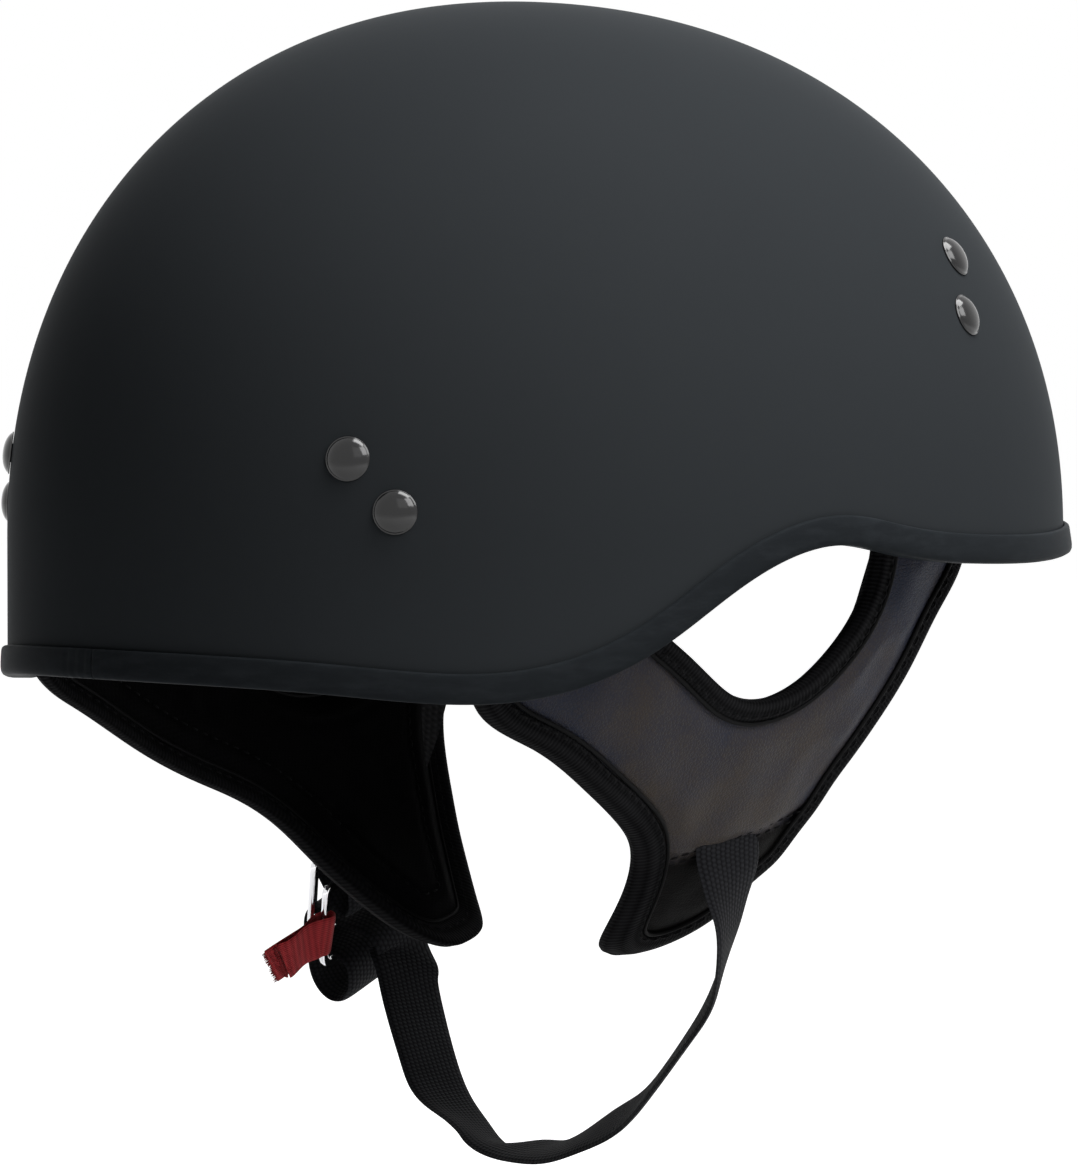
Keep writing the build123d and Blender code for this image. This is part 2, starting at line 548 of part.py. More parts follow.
def main():
    """Builds every piece and writes one file for each."""
    dome = Dome()
    nodes = {}
    sides = ((-1, "right"), (1, "left"))
    reach = FRONT_LENGTH + OVERRUN
    rivets = rivet_places(-1) + rivet_places(1)

    shell = dome.layer(0, SHELL_WALL) - below_rim(TRIM_WALL)
    nodes["outer_shell"] = shell - pins(rivets, RIVET_SHANK_RADIUS + RIVET_FIT, 2 * SHELL_WALL, SHELL_WALL)
    trim = dome.layer(-TRIM_WALL, SHELL_WALL + TRIM_WALL) & (below_rim(TRIM_HEIGHT) - below_rim(0))
    trim -= dome.layer(-TRIM_FIT, SHELL_WALL + TRIM_FIT) - below_rim(TRIM_WALL - TRIM_FIT)
    joint_half = TRIM_JOINT_GAP / 2
    nodes["rim_trim"] = trim - block((-joint_half, joint_half), (0, reach), (-reach, reach))

    liner_in = LINER_INSET + LINER_WALL
    liner = dome.layer(LINER_INSET, liner_in) - below_rim(TRIM_HEIGHT + LINER_RIM_GAP)
    pocket_deep = LEG_INSET + STRAP_WALL + WASHER_WALL + RIVET_TAIL_RISE + POCKET_FIT
    liner -= pins(rivets, WASHER_RADIUS + POCKET_FIT, pocket_deep, 0)
    tuck = below_rim(FLAP_TUCK + POCKET_FIT)
    flap_low, flap_high = [y * REAR_LENGTH for y in REBATE_SHARES]
    flap = flap_parts(-1)
    for side, name in sides:
        sheet = Sheet(side)
        inboard = sheet.slab(-BINDING_WALL - POCKET_FIT, liner_in + HALF_WIDTH / 2)
        liner -= inboard & tuck & block((-reach, reach), (flap_low, flap_high), (-reach, reach))
        for part, solid in flap.items():
            nodes[f"{name}_flap_{part}"] = solid if side < 0 else mirror(solid, about=Plane.YZ)
        for front in (True, False):
            stations = leg_stations(side, front)
            leg = webbing(stations) - pins(rivets, RIVET_SHANK_RADIUS + RIVET_FIT, 4 * SHELL_WALL, SHELL_WALL)
            leg -= pins(clip_places(side), CLIP_POST_RADIUS + CLIP_FIT, FLAP_FOAM, 2 * FLAP_FOAM)
            nodes[f"{name}_{'front' if front else 'rear'}_strap_leg"] = leg
            liner -= webbing(stations, STRAP_WIDTH + 2 * STRAP_FIT, STRAP_WALL + 4 * STRAP_FIT)
        nodes[f"{name}_strap_exit"] = webbing(exit_stations(side))
    clips = clip_places(-1) + clip_places(1)
    deep = FLAP_LEATHER + FLAP_FOAM + FLAP_LINING + CLIP_GRIP + 2 * CLIP_POST_RADIUS
    liner -= pins(clips, CLIP_POST_RADIUS + CLIP_FIT, 0, deep)
    nodes["eps_liner"] = liner

    pad_out = liner_in + PAD_FIT
    pad_wall = dome.layer(pad_out, pad_out + PAD_THICKNESS)
    pad_lift = FLAP_TUCK + PAD_RIM_RISE
    crown_radius = CROWN_PAD_SHARE * HALF_WIDTH
    crown = Location((0, 0, DOME_HEIGHT)) * Cylinder(crown_radius, DOME_HEIGHT)
    nodes["crown_pad"] = pad_wall & crown
    strip = band(pad_wall, pad_lift, PAD_TOP_SHARE)
    front_y = PAD_FRONT_SHARE * FRONT_LENGTH
    rear_y = PAD_REAR_SHARE * REAR_LENGTH
    nodes["brow_pad"] = strip & block((-reach, reach), (-reach, front_y), (-reach, reach))
    nodes["nape_pad"] = strip & block((-reach, reach), (rear_y, reach), (-reach, reach))
    for side, name in sides:
        half = block(sorted((0, side * reach)), (front_y + PAD_GAP, rear_y - PAD_GAP), (-reach, reach))
        nodes[f"{name}_side_pad"] = strip & half

    nodes["strap_rivets"] = Compound(children=turned(rivet_profile(), rivets))
    nodes["rivet_washers"] = Compound(children=turned(washer_profile(), rivets))
    nodes["flap_clips"] = Compound(children=turned(clip_profile(), clips))
    nodes["chin_strap"] = webbing(chin_stations())
    nodes["short_strap"] = webbing(buckle_stations(SHORT_STRAP_SHARES))
    nodes["outer_d_ring"] = ring(OUTER_SEAT_SHARES, OUTER_RING_TILT)
    nodes["inner_d_ring"] = ring(INNER_SEAT_SHARES, INNER_RING_TILT)
    nodes["pull_tab"] = pull_tab()

    os.makedirs("parts", exist_ok=True)
    for name, solid in nodes.items():
        export_step(solid, f"parts/{name}.step")


if __name__ == "__main__":
    main()
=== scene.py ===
"""Half shell motorcycle helmet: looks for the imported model.

Every length in the classes below is in millimetres and is turned to metres where a mesh is made.
The wearer faces -Y, the wearer's right is -X and +Z is up.
"""
from __future__ import annotations

import logging
import math
from dataclasses import dataclass, field
from enum import Enum

import bmesh
import bpy
import numpy as np
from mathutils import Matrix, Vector, geometry


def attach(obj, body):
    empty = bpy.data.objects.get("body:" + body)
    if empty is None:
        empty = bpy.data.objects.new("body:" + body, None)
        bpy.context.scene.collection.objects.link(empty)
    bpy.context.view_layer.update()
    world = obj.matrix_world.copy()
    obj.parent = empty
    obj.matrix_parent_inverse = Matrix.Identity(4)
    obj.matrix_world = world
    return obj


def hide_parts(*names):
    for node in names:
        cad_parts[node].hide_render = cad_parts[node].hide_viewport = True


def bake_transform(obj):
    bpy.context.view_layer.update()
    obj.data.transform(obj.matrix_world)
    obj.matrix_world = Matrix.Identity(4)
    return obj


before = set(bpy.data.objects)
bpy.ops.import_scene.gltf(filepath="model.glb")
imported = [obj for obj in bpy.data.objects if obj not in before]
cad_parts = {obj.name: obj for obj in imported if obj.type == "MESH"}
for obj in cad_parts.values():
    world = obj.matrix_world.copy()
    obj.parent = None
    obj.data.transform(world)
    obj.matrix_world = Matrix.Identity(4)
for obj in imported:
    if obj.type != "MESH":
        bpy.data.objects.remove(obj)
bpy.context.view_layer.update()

LOG = logging.getLogger("helmet")
MM = 0.001
TURN = 2.0 * math.pi
Array = np.ndarray
Thing = bpy.types.Object
Tree = bpy.types.NodeTree
Material = bpy.types.Material


class Side(Enum):
    """The wearer's right and left."""

    RIGHT = -1
    LEFT = 1


# Numbers on curves and grids


def unit(vectors: Array) -> Array:
    """Vectors scaled to length one.

    Args:
        vectors: any array whose last axis is a vector.
    Returns:
        The array with each vector divided by its own length.
    """
    length = np.linalg.norm(vectors, axis=-1, keepdims=True)
    return vectors / np.maximum(length, 1e-12)


def smooth_step(x: Array) -> Array:
    """Zero below 0, one above 1, and 3x2 - 2x3 between."""
    t = np.clip(x, 0.0, 1.0)
    return t * t * (3.0 - 2.0 * t)


class Path:
    """A smooth curve through points: a cubic in each span, with bends that run on from span to span."""

    samples = 40

    def __init__(self, points: list | Array) -> None:
        """Solves the natural cubic spline for every column of points.

        Args:
            points: one row for each point, in any number of dimensions.
        """
        self.p = np.asarray(points, float)
        steps = np.linalg.norm(np.diff(self.p[:, :3], axis=0), axis=1)
        self.t = np.concatenate([[0.0], np.cumsum(steps)])
        n = len(self.p)
        h = np.diff(self.t)
        a = np.eye(n)
        b = np.zeros_like(self.p)
        rows = np.arange(1, n - 1)
        a[rows, rows - 1] = h[:-1]
        a[rows, rows] = 2.0 * (h[:-1] + h[1:])
        a[rows, rows + 1] = h[1:]
        slope = np.diff(self.p, axis=0) / h[:, None]
        b[1:-1] = 6.0 * np.diff(slope, axis=0)
        self.m = np.linalg.solve(a, b)
        self.h = h

    def at(self, t: Array) -> Array:
        """Points along the spans: the two ends' pull plus the two bends' pull.

        Args:
            t: lengths along the straight spans.
        Returns:
            A row for each length.
        """
        t = np.asarray(t, float)
        k = np.clip(np.searchsorted(self.t, t, side="right") - 1, 0, len(self.h) - 1)
        h = self.h[k][:, None]
        left = (self.t[k + 1] - t)[:, None]
        right = (t - self.t[k])[:, None]
        bend = (self.m[k] * left**3 + self.m[k + 1] * right**3) / (6.0 * h)
        low, high = [self.p[j] / h - self.m[j] * h / 6.0 for j in (k, k + 1)]
        ends = low * left + high * right
        return bend + ends

    def even(self, step: float) -> Array:
        """Points evenly spaced along the curve, from its first point to its last.

        Args:
            step: about how far apart they are.
        Returns:
            A row for each point.
        """
        fine = self.at(np.linspace(0.0, self.t[-1], self.samples * len(self.p)))
        run = run_lengths(fine[:, :3])
        count = max(int(round(run[-1] / step)), 2) + 1
        return sampled(np.linspace(0.0, run[-1], count), run, fine)


def tangents(points: Array, closed: bool = False) -> Array:
    """Directions along a row of points, from each point's two neighbours.

    Args:
        points: rows of places.
        closed: whether the last point is followed by the first.
    Returns:
        A unit direction for each point.
    """
    if closed:
        return unit(np.roll(points, -1, axis=0) - np.roll(points, 1, axis=0))
    return unit(np.gradient(points, axis=0))


def run_lengths(points: Array) -> Array:
    """Length along a row of points, up to each point."""
    return np.concatenate([[0.0], np.cumsum(np.linalg.norm(np.diff(points, axis=0), axis=1))])


def sampled(where: Array, run: Array, rows: Array) -> Array:
    """Rows read off at these lengths along them, one column at a time."""
    return np.stack([np.interp(where, run, rows[:, c]) for c in range(rows.shape[1])], axis=-1)


def circle(count: int, side: Array, up: Array) -> Array:
    """Directions round a circle: a cosine of side plus a sine of up, for each row of the two."""
    a = np.linspace(0.0, TURN, count, endpoint=False)[:, None]
    return np.cos(a) * side[..., None, :] + np.sin(a) * up[..., None, :]


def distance_to(points: Array, line: Array) -> Array:
    """Shortest distance from each 2-D point to a 2-D polyline.

    Args:
        points: rows of two numbers.
        line: rows of two numbers, joined in order.
    Returns:
        One distance for each point, worked out against every span at once.
    """
    a, b = line[:-1], line[1:]
    ab = b - a
    ap = points[:, None, :] - a[None]
    t = np.clip((ap * ab).sum(-1) / np.maximum((ab * ab).sum(-1), 1e-12), 0.0, 1.0)
    return np.linalg.norm(ap - t[..., None] * ab, axis=-1).min(axis=1)


def ripples(points: Array, scale: float, seed: int, count: int = 9) -> Array:
    """A smooth uneven field: a sum of waves of like length in seeded directions.

    Args:
        points: rows of places, in any number of dimensions.
        scale: the waves' middle length.
        seed: the seed of their directions, lengths and starts.
        count: the number of waves.
    Returns:
        About -1 to 1 for each point.
    """
    peak = 1.6
    rng = np.random.default_rng(seed)
    total = np.zeros(len(points))
    for _ in range(count):
        way = unit(rng.normal(size=points.shape[1]))
        total += np.sin(points @ way * TURN / scale * rng.uniform(0.6, 1.5) + rng.uniform(0.0, TURN))
    return total / count**0.5 / peak


# Meshes


def linked(name: str, data: bpy.types.ID) -> Thing:
    """A new object that holds this data, linked into the scene."""
    obj = bpy.data.objects.new(name, data)
    bpy.context.scene.collection.objects.link(obj)
    return obj


def mesh_object(name: str, verts: Array, faces: list | Array, uvs: Array | None = None,
                smooth: bool = True) -> Thing:
    """A new object at the origin.

    Args:
        name: the piece's name.
        verts: points in millimetres.
        faces: rows of corner numbers.
        uvs: one pair for each point, or nothing.
        smooth: whether the faces shade smoothly.
    Returns:
        The object, linked into the scene.
    """
    mesh = bpy.data.meshes.new(name)
    mesh.from_pydata((np.asarray(verts) * MM).tolist(), [], [list(map(int, f)) for f in faces])
    mesh.polygons.foreach_set("use_smooth", np.full(len(mesh.polygons), smooth))
    if uvs is not None:
        layer = mesh.uv_layers.new(name="UVMap")
        corner = np.empty(len(mesh.loops), int)
        mesh.loops.foreach_get("vertex_index", corner)
        layer.data.foreach_set("uv", np.asarray(uvs, np.float32)[corner].ravel())
    mesh.update()
    return linked(name, mesh)


def quads(rows: int, cols: int, wrap_rows: bool = False, wrap_cols: bool = False) -> Array:
    """Corner numbers of a grid's faces, each row running on to the next.

    Args:
        rows: the grid's rows.
        cols: the points in a row.
        wrap_rows: whether the last row joins the first.
        wrap_cols: whether each row closes on itself.
    Returns:
        Four corner numbers for each face.
    """
    r = np.arange(rows if wrap_rows else rows - 1)
    c = np.arange(cols if wrap_cols else cols - 1)
    r, c = [g.ravel() for g in np.meshgrid(r, c, indexing="ij")]
    r2, c2 = (r + 1) % rows, (c + 1) % cols
    return np.stack([r * cols + c, r * cols + c2, r2 * cols + c2, r2 * cols + c], axis=1)


def tube_faces(n: int, k: int, first: int = 0) -> list:
    """Faces of a capped tube of n rings of k points, numbered from a first point."""
    ends = [[first + i for i in range(k)][::-1], [first + (n - 1) * k + i for i in range(k)]]
    return (quads(n, k, wrap_cols=True) + first).tolist() + ends


def tidy(obj: Thing, merge: float = 0.002) -> None:
    """Merges points that fall together and turns the faces outwards.

    Args:
        obj: the object whose mesh is cleaned.
        merge: how near two points are merged, in millimetres.
    """
    bm = bmesh.new()
    bm.from_mesh(obj.data)
    bmesh.ops.remove_doubles(bm, verts=bm.verts, dist=merge * MM)
    bmesh.ops.dissolve_degenerate(bm, edges=bm.edges, dist=merge * MM * 0.5)
    bmesh.ops.recalc_face_normals(bm, faces=bm.faces)
    bm.to_mesh(obj.data)
    bm.free()
    obj.data.update()


def turn_outward(obj: Thing) -> None:
    """Turns the faces outwards and leaves every point as it is.

    Args:
        obj: the object whose faces are turned.
    """
    bm = bmesh.new()
    bm.from_mesh(obj.data)
    bmesh.ops.recalc_face_normals(bm, faces=bm.faces)
    bm.to_mesh(obj.data)
    bm.free()


def tube(name: str, rings: Array, closed: bool = False, uvs: Array | None = None) -> Thing:
    """A skin over rings of points, one ring after another along a path.

    Args:
        name: the piece's name.
        rings: an array of ring, point on the ring, and place.
        closed: whether the last ring joins the first; an open skin's two ends are filled.
        uvs: one pair for each ring and point, or nothing.
    Returns:
        The object.
    """
    n, k = rings.shape[:2]
    faces = quads(n, k, wrap_rows=True, wrap_cols=True).tolist() if closed else tube_faces(n, k)
    flat = None if uvs is None else uvs.reshape(-1, 2)
    obj = mesh_object(name, rings.reshape(-1, 3), faces, flat)
    tidy(obj, 0.0005)
    return obj


def rounded_section(half_width: float, half_wall: float) -> Array:
    """A flat strap's cross-section: a rectangle with eased corners, as a curve of high power.

    Args:
        half_width: half the strap's width.
        half_wall: half its thickness, which falls to a quarter at the very edge.
    Returns:
        Places round the section.
    """
    count, width_power, wall_power, edge_power, edge_share = 36, 5.0, 2.6, 14, 0.25
    a = np.linspace(0.0, TURN, count, endpoint=False)
    c, s = np.cos(a), np.sin(a)
    x = half_width * np.sign(c) * np.abs(c) ** (2.0 / width_power)
    edge = 1.0 - np.abs(x / half_width) ** edge_power
    y = half_wall * np.sign(s) * np.abs(s) ** (2.0 / wall_power)
    return np.stack([x, y * (edge_share + (1.0 - edge_share) * edge)], axis=1)


def strap(name: str, stations: Array, width: float, wall: float, step: float = 0.8) -> Thing:
    """Webbing along stations of a place and the direction of its width.

    Args:
        name: the piece's name.
        stations: rows of six numbers, place then width direction.
        width: the webbing's width.
        wall: its thickness.
        step: the distance between cross-sections.
    Returns:
        The object, with UV in centimetres along and across.
    """
    rows = Path(stations).even(step)
    place = rows[:, :3]
    along = tangents(place)
    across = rows[:, 3:6]
    across = unit(across - along * (across * along).sum(1, keepdims=True))
    out = np.cross(along, across)
    section = rounded_section(width / 2.0, wall / 2.0)
    rings = place[:, None] + across[:, None] * section[None, :, :1] + out[:, None] * section[None, :, 1:]
    run = run_lengths(place) / 10.0
    uvs = np.stack(np.broadcast_arrays(run[:, None], section[None, :, 0] / 10.0), axis=-1)
    return tube(name, rings, uvs=uvs)


def stitch_row(name: str, line: Array, normals: Array, pitch: float, length: float,
               radius: float) -> Thing:
    """Thread stitches along a line of places.

    Args:
        name: the piece's name.
        line: places on the surface.
        normals: the surface's normals there.
        pitch: the distance from one stitch to the next.
        length: a stitch's length.
        radius: the thread's radius.
    Returns:
        One object that holds every stitch, each a low arch with eight sides.
    """
    rings, sides, foot, rise, end_share = 7, 8, 1.1, 7.0, 0.02
    run = run_lengths(line)
    count = max(int(run[-1] / pitch), 1)
    middle = (np.arange(count) + 0.5) * run[-1] / count
    share = np.linspace(-0.5, 0.5, rings)
    centre = sampled(middle[:, None] + share[None] * length, run, line)
    up = unit(sampled(middle, run, normals))
    along = unit(centre[:, -1] - centre[:, 0])
    arch = radius * (foot - rise * share**2)
    swell = radius * np.sqrt(np.clip(1.0 - (2.0 * share) ** 4, end_share, 1.0))
    ring = circle(sides, np.cross(along, up), up)[:, None]
    body = centre[:, :, None] + arch[:, None, None] * up[:, None, None] + swell[:, None, None] * ring
    faces = [face for k in range(count) for face in tube_faces(rings, sides, k * rings * sides)]
    obj = mesh_object(name, body.reshape(-1, 3), faces)
    tidy(obj, 0.0002)
    return obj


# Materials


def feed(tree: Tree, value: object, socket: bpy.types.NodeSocket) -> None:
    """Links a wire into a socket, or sets the socket to a plain value.

    Args:
        tree: the tree that holds the socket.
        value: a wire or a plain value.
        socket: the input that is fed.
    """
    if isinstance(value, Wire):
        tree.links.new(value.socket, socket)
    else:
        socket.default_value = value


def add_node(tree: Tree, kind: str, sockets: dict, output: int | str = 0, **settings: object) -> Wire:
    """Adds a node: its settings first, and then its sockets.

    Args:
        tree: the tree that it goes in.
        kind: its type, without the word ShaderNode.
        sockets: wires or plain values, by the input's name or number.
        output: the output that is handed back.
        settings: its own properties, such as a maths node's operation.
    Returns:
        A wire from that output.
    """
    made = tree.nodes.new(f"ShaderNode{kind}")
    for key, value in settings.items():
        setattr(made, key, value)
    for key, value in sockets.items():
        feed(tree, value, made.inputs[key])
    return Wire(tree, made.outputs[output])


def opaque(colour: Wire | tuple) -> Wire | tuple:
    """A plain colour with its alpha, or a wire as it is."""
    return colour if isinstance(colour, Wire) else (*colour, 1.0)


class Wire:
    """A value in a node tree; Python's operators lay down maths nodes."""

    def __init__(self, tree: Tree, socket: bpy.types.NodeSocket) -> None:
        """Holds the tree and the output socket."""
        self.tree = tree
        self.socket = socket

    def maths(self, kind: str, *others: object, swap: bool = False) -> Wire:
        """One maths node of this kind, fed with this value and the others, which come first in a swap."""
        values = (*others, self) if swap else (self, *others)
        return add_node(self.tree, "Math", dict(enumerate(values)), operation=kind)

    def __add__(self, other: Wire | float) -> Wire:
        """This value plus another."""
        return self.maths("ADD", other)

    def __sub__(self, other: Wire | float) -> Wire:
        """This value less another."""
        return self.maths("SUBTRACT", other)

    def __rsub__(self, other: float) -> Wire:
        """A number less this value."""
        return self.maths("SUBTRACT", other, swap=True)

    def __mul__(self, other: Wire | float) -> Wire:
        """This value times another."""
        return self.maths("MULTIPLY", other)

    __radd__ = __add__
    __rmul__ = __mul__

    def sin(self) -> Wire:
        """The sine of this value."""
        return self.maths("SINE")

    def absolute(self) -> Wire:
        """This value without its sign."""
        return self.maths("ABSOLUTE")

    def floor(self) -> Wire:
        """The whole number below this value."""
        return self.maths("FLOOR")

    def ramp(self, low: float, high: float, to_low: float = 0.0, to_high: float = 1.0) -> Wire:
        """This value carried from one range to another, held at the ends."""
        return add_node(self.tree, "MapRange", dict(enumerate((self, low, high, to_low, to_high))))


class Paint:
    """A material being made: its principled shader and the textures that drive it."""

    def __init__(self, name: str) -> None:
        """Starts a material with one principled shader."""
        self.material = bpy.data.materials.new(name)
        self.material.use_nodes = True
        self.tree = self.material.node_tree
        self.shader = self.tree.nodes["Principled BSDF"]
        self.places = self.tree.nodes.new("ShaderNodeTexCoord")

    def finish(self, **values: object) -> Material:
        """Sets the shader's sockets and hands over the material.

        Args:
            values: wires, colours or numbers by the socket's name, with underscores for spaces.
        Returns:
            The finished material.
        """
        for key, value in values.items():
            plain = opaque(value) if isinstance(value, tuple) else value
            feed(self.tree, plain, self.shader.inputs[key.replace("_", " ")])
        return self.material

    def coords(self, stretch: tuple = (1.0, 1.0, 1.0)) -> Wire:
        """The object's coordinates, stretched along each axis."""
        places = Wire(self.tree, self.places.outputs["Object"])
        return add_node(self.tree, "Mapping", {"Scale": stretch, "Vector": places})

    def noise(self, scale: float, detail: float = 3.0, rough: float = 0.5,
              stretch: tuple = (1.0, 1.0, 1.0)) -> Wire:
        """Cloudy noise, about 0 to 1."""
        sockets = {"Scale": scale, "Detail": detail, "Roughness": rough, "Vector": self.coords(stretch)}
        return add_node(self.tree, "TexNoise", sockets, "Fac")

    def cells(self, scale: float) -> Wire:
        """Cells like leather pores: the distance to the cell's edge."""
        sockets = {"Scale": scale, "Vector": self.coords()}
        return add_node(self.tree, "TexVoronoi", sockets, "Distance", feature="DISTANCE_TO_EDGE")

    def axes(self, kind: str = "UV") -> tuple:
        """The coordinates as three separate wires."""
        apart = add_node(self.tree, "SeparateXYZ", {0: Wire(self.tree, self.places.outputs[kind])})
        return tuple(Wire(self.tree, socket) for socket in apart.socket.node.outputs)

    def tint(self, mix: Wire, low: Wire | tuple, high: tuple) -> Wire:
        """A colour between two, by a wire from 0 to 1."""
        return add_node(self.tree, "Mix", {0: mix, 6: opaque(low), 7: opaque(high)}, 2, data_type="RGBA")

    def attribute(self, name: str) -> Wire:
        """A value that the mesh carries under this name."""
        return add_node(self.tree, "Attribute", {}, "Fac", attribute_name=name)

    def bump(self, height: Wire, distance: float, strength: float = 1.0) -> Wire:
        """A bumped normal; distance is the height in millimetres of a step from 0 to 1."""
        sockets = {"Strength": strength, "Distance": distance * MM, "Height": height}
        return add_node(self.tree, "Bump", sockets, "Normal")


@dataclass(frozen=True)
class SatinPaint:
    """The shell's satin finish: even colour, soft gloss and a faint orange peel."""

    name: str = "shell_satin"
    colour: tuple = (0.0300, 0.0335, 0.0365)
    deep: tuple = (0.0270, 0.0300, 0.0330)
    gloss: float = 0.42
    level: float = 0.003

    def build(self) -> Material:
        """Makes the material."""
        paint = Paint(self.name)
        cloud = paint.noise(14.0, 3.0)
        grain = paint.noise(2600.0, 2.0)
        peel = paint.noise(420.0, 2.0)
        return paint.finish(
            Base_Color=paint.tint(cloud, self.deep, self.colour), Specular_IOR_Level=self.level,
            Roughness=cloud * 0.05 + grain * 0.05 + self.gloss,
            Normal=paint.bump(grain * 0.35 + peel, 0.012, 0.5))


@dataclass(frozen=True)
class Moulding:
    """Moulded rubber or plastic: fine grain, small scuffs along its length."""

    name: str
    colour: tuple
    gloss: float
    level: float = 0.5
    grain: float = 0.02

    def build(self) -> Material:
        """Makes the material."""
        paint = Paint(self.name)
        fine = paint.noise(1500.0, 3.0)
        scuff = paint.noise(90.0, 5.0, 0.7, stretch=(1.0, 1.0, 4.0)).ramp(0.45, 0.75)
        shade = tuple(min(c * 1.7 + 0.003, 1.0) for c in self.colour)
        return paint.finish(
            Base_Color=paint.tint(scuff * 0.5, self.colour, shade), Specular_IOR_Level=self.level,
            Roughness=fine * 0.08 + scuff * 0.1 + self.gloss, Normal=paint.bump(fine, self.grain, 0.6))


@dataclass(frozen=True)
class Enamel:
    """Gloss black enamel on a rivet's head, with hairline wear."""

    name: str = "rivet_enamel"
    colour: tuple = (0.004, 0.004, 0.0045)
    worn: tuple = (0.02, 0.02, 0.021)
    gloss: float = 0.16
    level: float = 0.42
    coat: float = 0.15
    coat_gloss: float = 0.06

    def build(self) -> Material:
        """Makes the material."""
        paint = Paint(self.name)
        wear = paint.noise(800.0, 4.0, 0.6).ramp(0.62, 0.75)
        return paint.finish(
            Base_Color=paint.tint(wear * 0.3, self.colour, self.worn), Roughness=wear * 0.12 + self.gloss,
            Specular_IOR_Level=self.level, Coat_Weight=self.coat, Coat_Roughness=self.coat_gloss,
            Normal=paint.bump(paint.noise(300.0, 1.0), 0.01, 0.25))


@dataclass(frozen=True)
class Metal:
    """Plated or plain metal with polishing marks."""

    name: str
    colour: tuple
    gloss: float

    def build(self) -> Material:
        """Makes the material."""
        paint = Paint(self.name)
        marks = paint.noise(700.0, 4.0, 0.6, stretch=(1.0, 1.0, 0.12))
        return paint.finish(Base_Color=self.colour, Metallic=1.0, Roughness=marks * 0.12 + self.gloss,
                            Normal=paint.bump(marks, 0.004, 0.5))


@dataclass(frozen=True)
class Weave:
    """Webbing or ribbon: ribs along it, crossed by slanting weft; UV is in centimetres."""

    name: str
    colour: tuple
    light: tuple
    rib: float
    weft: float
    slant: float
    relief: float
    sheen: float = 0.2
    level: float = 0.25

    def build(self) -> Material:
        """Makes the material."""
        paint = Paint(self.name)
        u, v, _ = paint.axes()
        ribs = (v * (10.0 * math.pi / self.rib)).sin().absolute()
        step = (v * (10.0 / self.rib)).floor() * self.slant
        weft = (u * (10.0 * TURN / self.weft) + step).sin() * 0.5 + 0.5
        fuzz = paint.noise(2500.0, 3.0, 0.6)
        height = ribs * 0.6 + weft * 0.5 + fuzz * 0.25
        tone = (height * 0.7 + paint.noise(60.0, 3.0) * 0.5).ramp(0.3, 1.2)
        return paint.finish(
            Base_Color=paint.tint(tone, self.colour, self.light), Roughness=0.9 - tone * 0.22,
            Specular_IOR_Level=self.level, Sheen_Weight=self.sheen, Sheen_Roughness=0.5,
            Normal=paint.bump(height, self.relief, 0.9))


@dataclass(frozen=True)
class Leather:
    """Grained leather: pores, fine creases, brown rubbed into blue-grey, and painted shade: the pocket below
    the cross seam is made near black and rougher.
    """

    name: str = "flap_leather"
    cool: tuple = (0.021, 0.025, 0.041)
    warm: tuple = (0.050, 0.040, 0.032)
    # Painted shade: the near-black colour of the pocket below the cross seam.
    painted_shade: tuple = (0.0045, 0.0043, 0.0042)
    gloss: float = 0.40
    level: float = 0.07
    relief: float = 0.16

    def build(self) -> Material:
        """Makes the material."""
        paint = Paint(self.name)
        rubbed = (paint.noise(26.0, 4.0, 0.55) + paint.axes("Object")[2] * -3.0).ramp(0.40, 0.95)
        pores = paint.cells(1150.0).ramp(0.0, 0.22)
        fold = paint.noise(190.0, 5.0, 0.62, stretch=(1.0, 1.0, 0.55))
        fine = paint.noise(1700.0, 2.0)
        height = pores * 0.5 + fold * 1.1 + fine * 0.2
        # Mask for the painted shade: 1 below the cross seam, where the pocket is made near black and rougher.
        low = paint.attribute("painted_shade")
        grain = (pores - 0.6) * 0.35 + (fold - 0.5) * 0.9
        mottled = paint.tint((rubbed + grain).ramp(0.0, 1.0), self.cool, self.warm)
        return paint.finish(
            Base_Color=paint.tint(low, mottled, self.painted_shade), Specular_IOR_Level=self.level,
            Roughness=self.gloss + fold * 0.16 - pores * 0.05 + low * 0.35,
            Normal=paint.bump(height, self.relief, 1.0))


@dataclass(frozen=True)
class Cloth:
    """Plain dark fabric with a fine open knit."""

    name: str
    colour: tuple
    light: tuple
    pitch: float
    relief: float
    level: float = 0.1
    sheen: float = 0.0

    def build(self) -> Material:
        """Makes the material."""
        paint = Paint(self.name)
        x, y, z = paint.axes("Object")
        k = TURN / (self.pitch * MM)
        waves = (x * k + y * k, y * k - z * k, z * k + x * k)
        knit = waves[0].sin() * 0.25 + waves[1].sin() * 0.25 + waves[2].sin() * 0.25 + 0.5
        fuzz = paint.noise(1900.0, 3.0, 0.6)
        tone = (knit * 0.6 + fuzz * 0.6).ramp(0.2, 1.0)
        return paint.finish(
            Base_Color=paint.tint(tone, self.colour, self.light), Roughness=0.92 - tone * 0.1,
            Specular_IOR_Level=self.level, Sheen_Weight=self.sheen,
            Normal=paint.bump(knit * 0.7 + fuzz * 0.5, self.relief, 0.8))


@dataclass(frozen=True)
class BeadFoam:
    """Moulded bead foam: rounded beads pressed together."""

    name: str = "bead_foam"
    colour: tuple = (0.012, 0.012, 0.013)
    light: tuple = (0.028, 0.028, 0.030)
    level: float = 0.3

    def build(self) -> Material:
        """Makes the material."""
        paint = Paint(self.name)
        beads = paint.cells(330.0).ramp(0.0, 0.30)
        fine = paint.noise(1200.0, 2.0)
        return paint.finish(
            Base_Color=paint.tint(beads, self.colour, self.light), Roughness=0.85 - beads * 0.15,
            Specular_IOR_Level=self.level, Normal=paint.bump(beads + fine * 0.15, 0.25, 0.7))


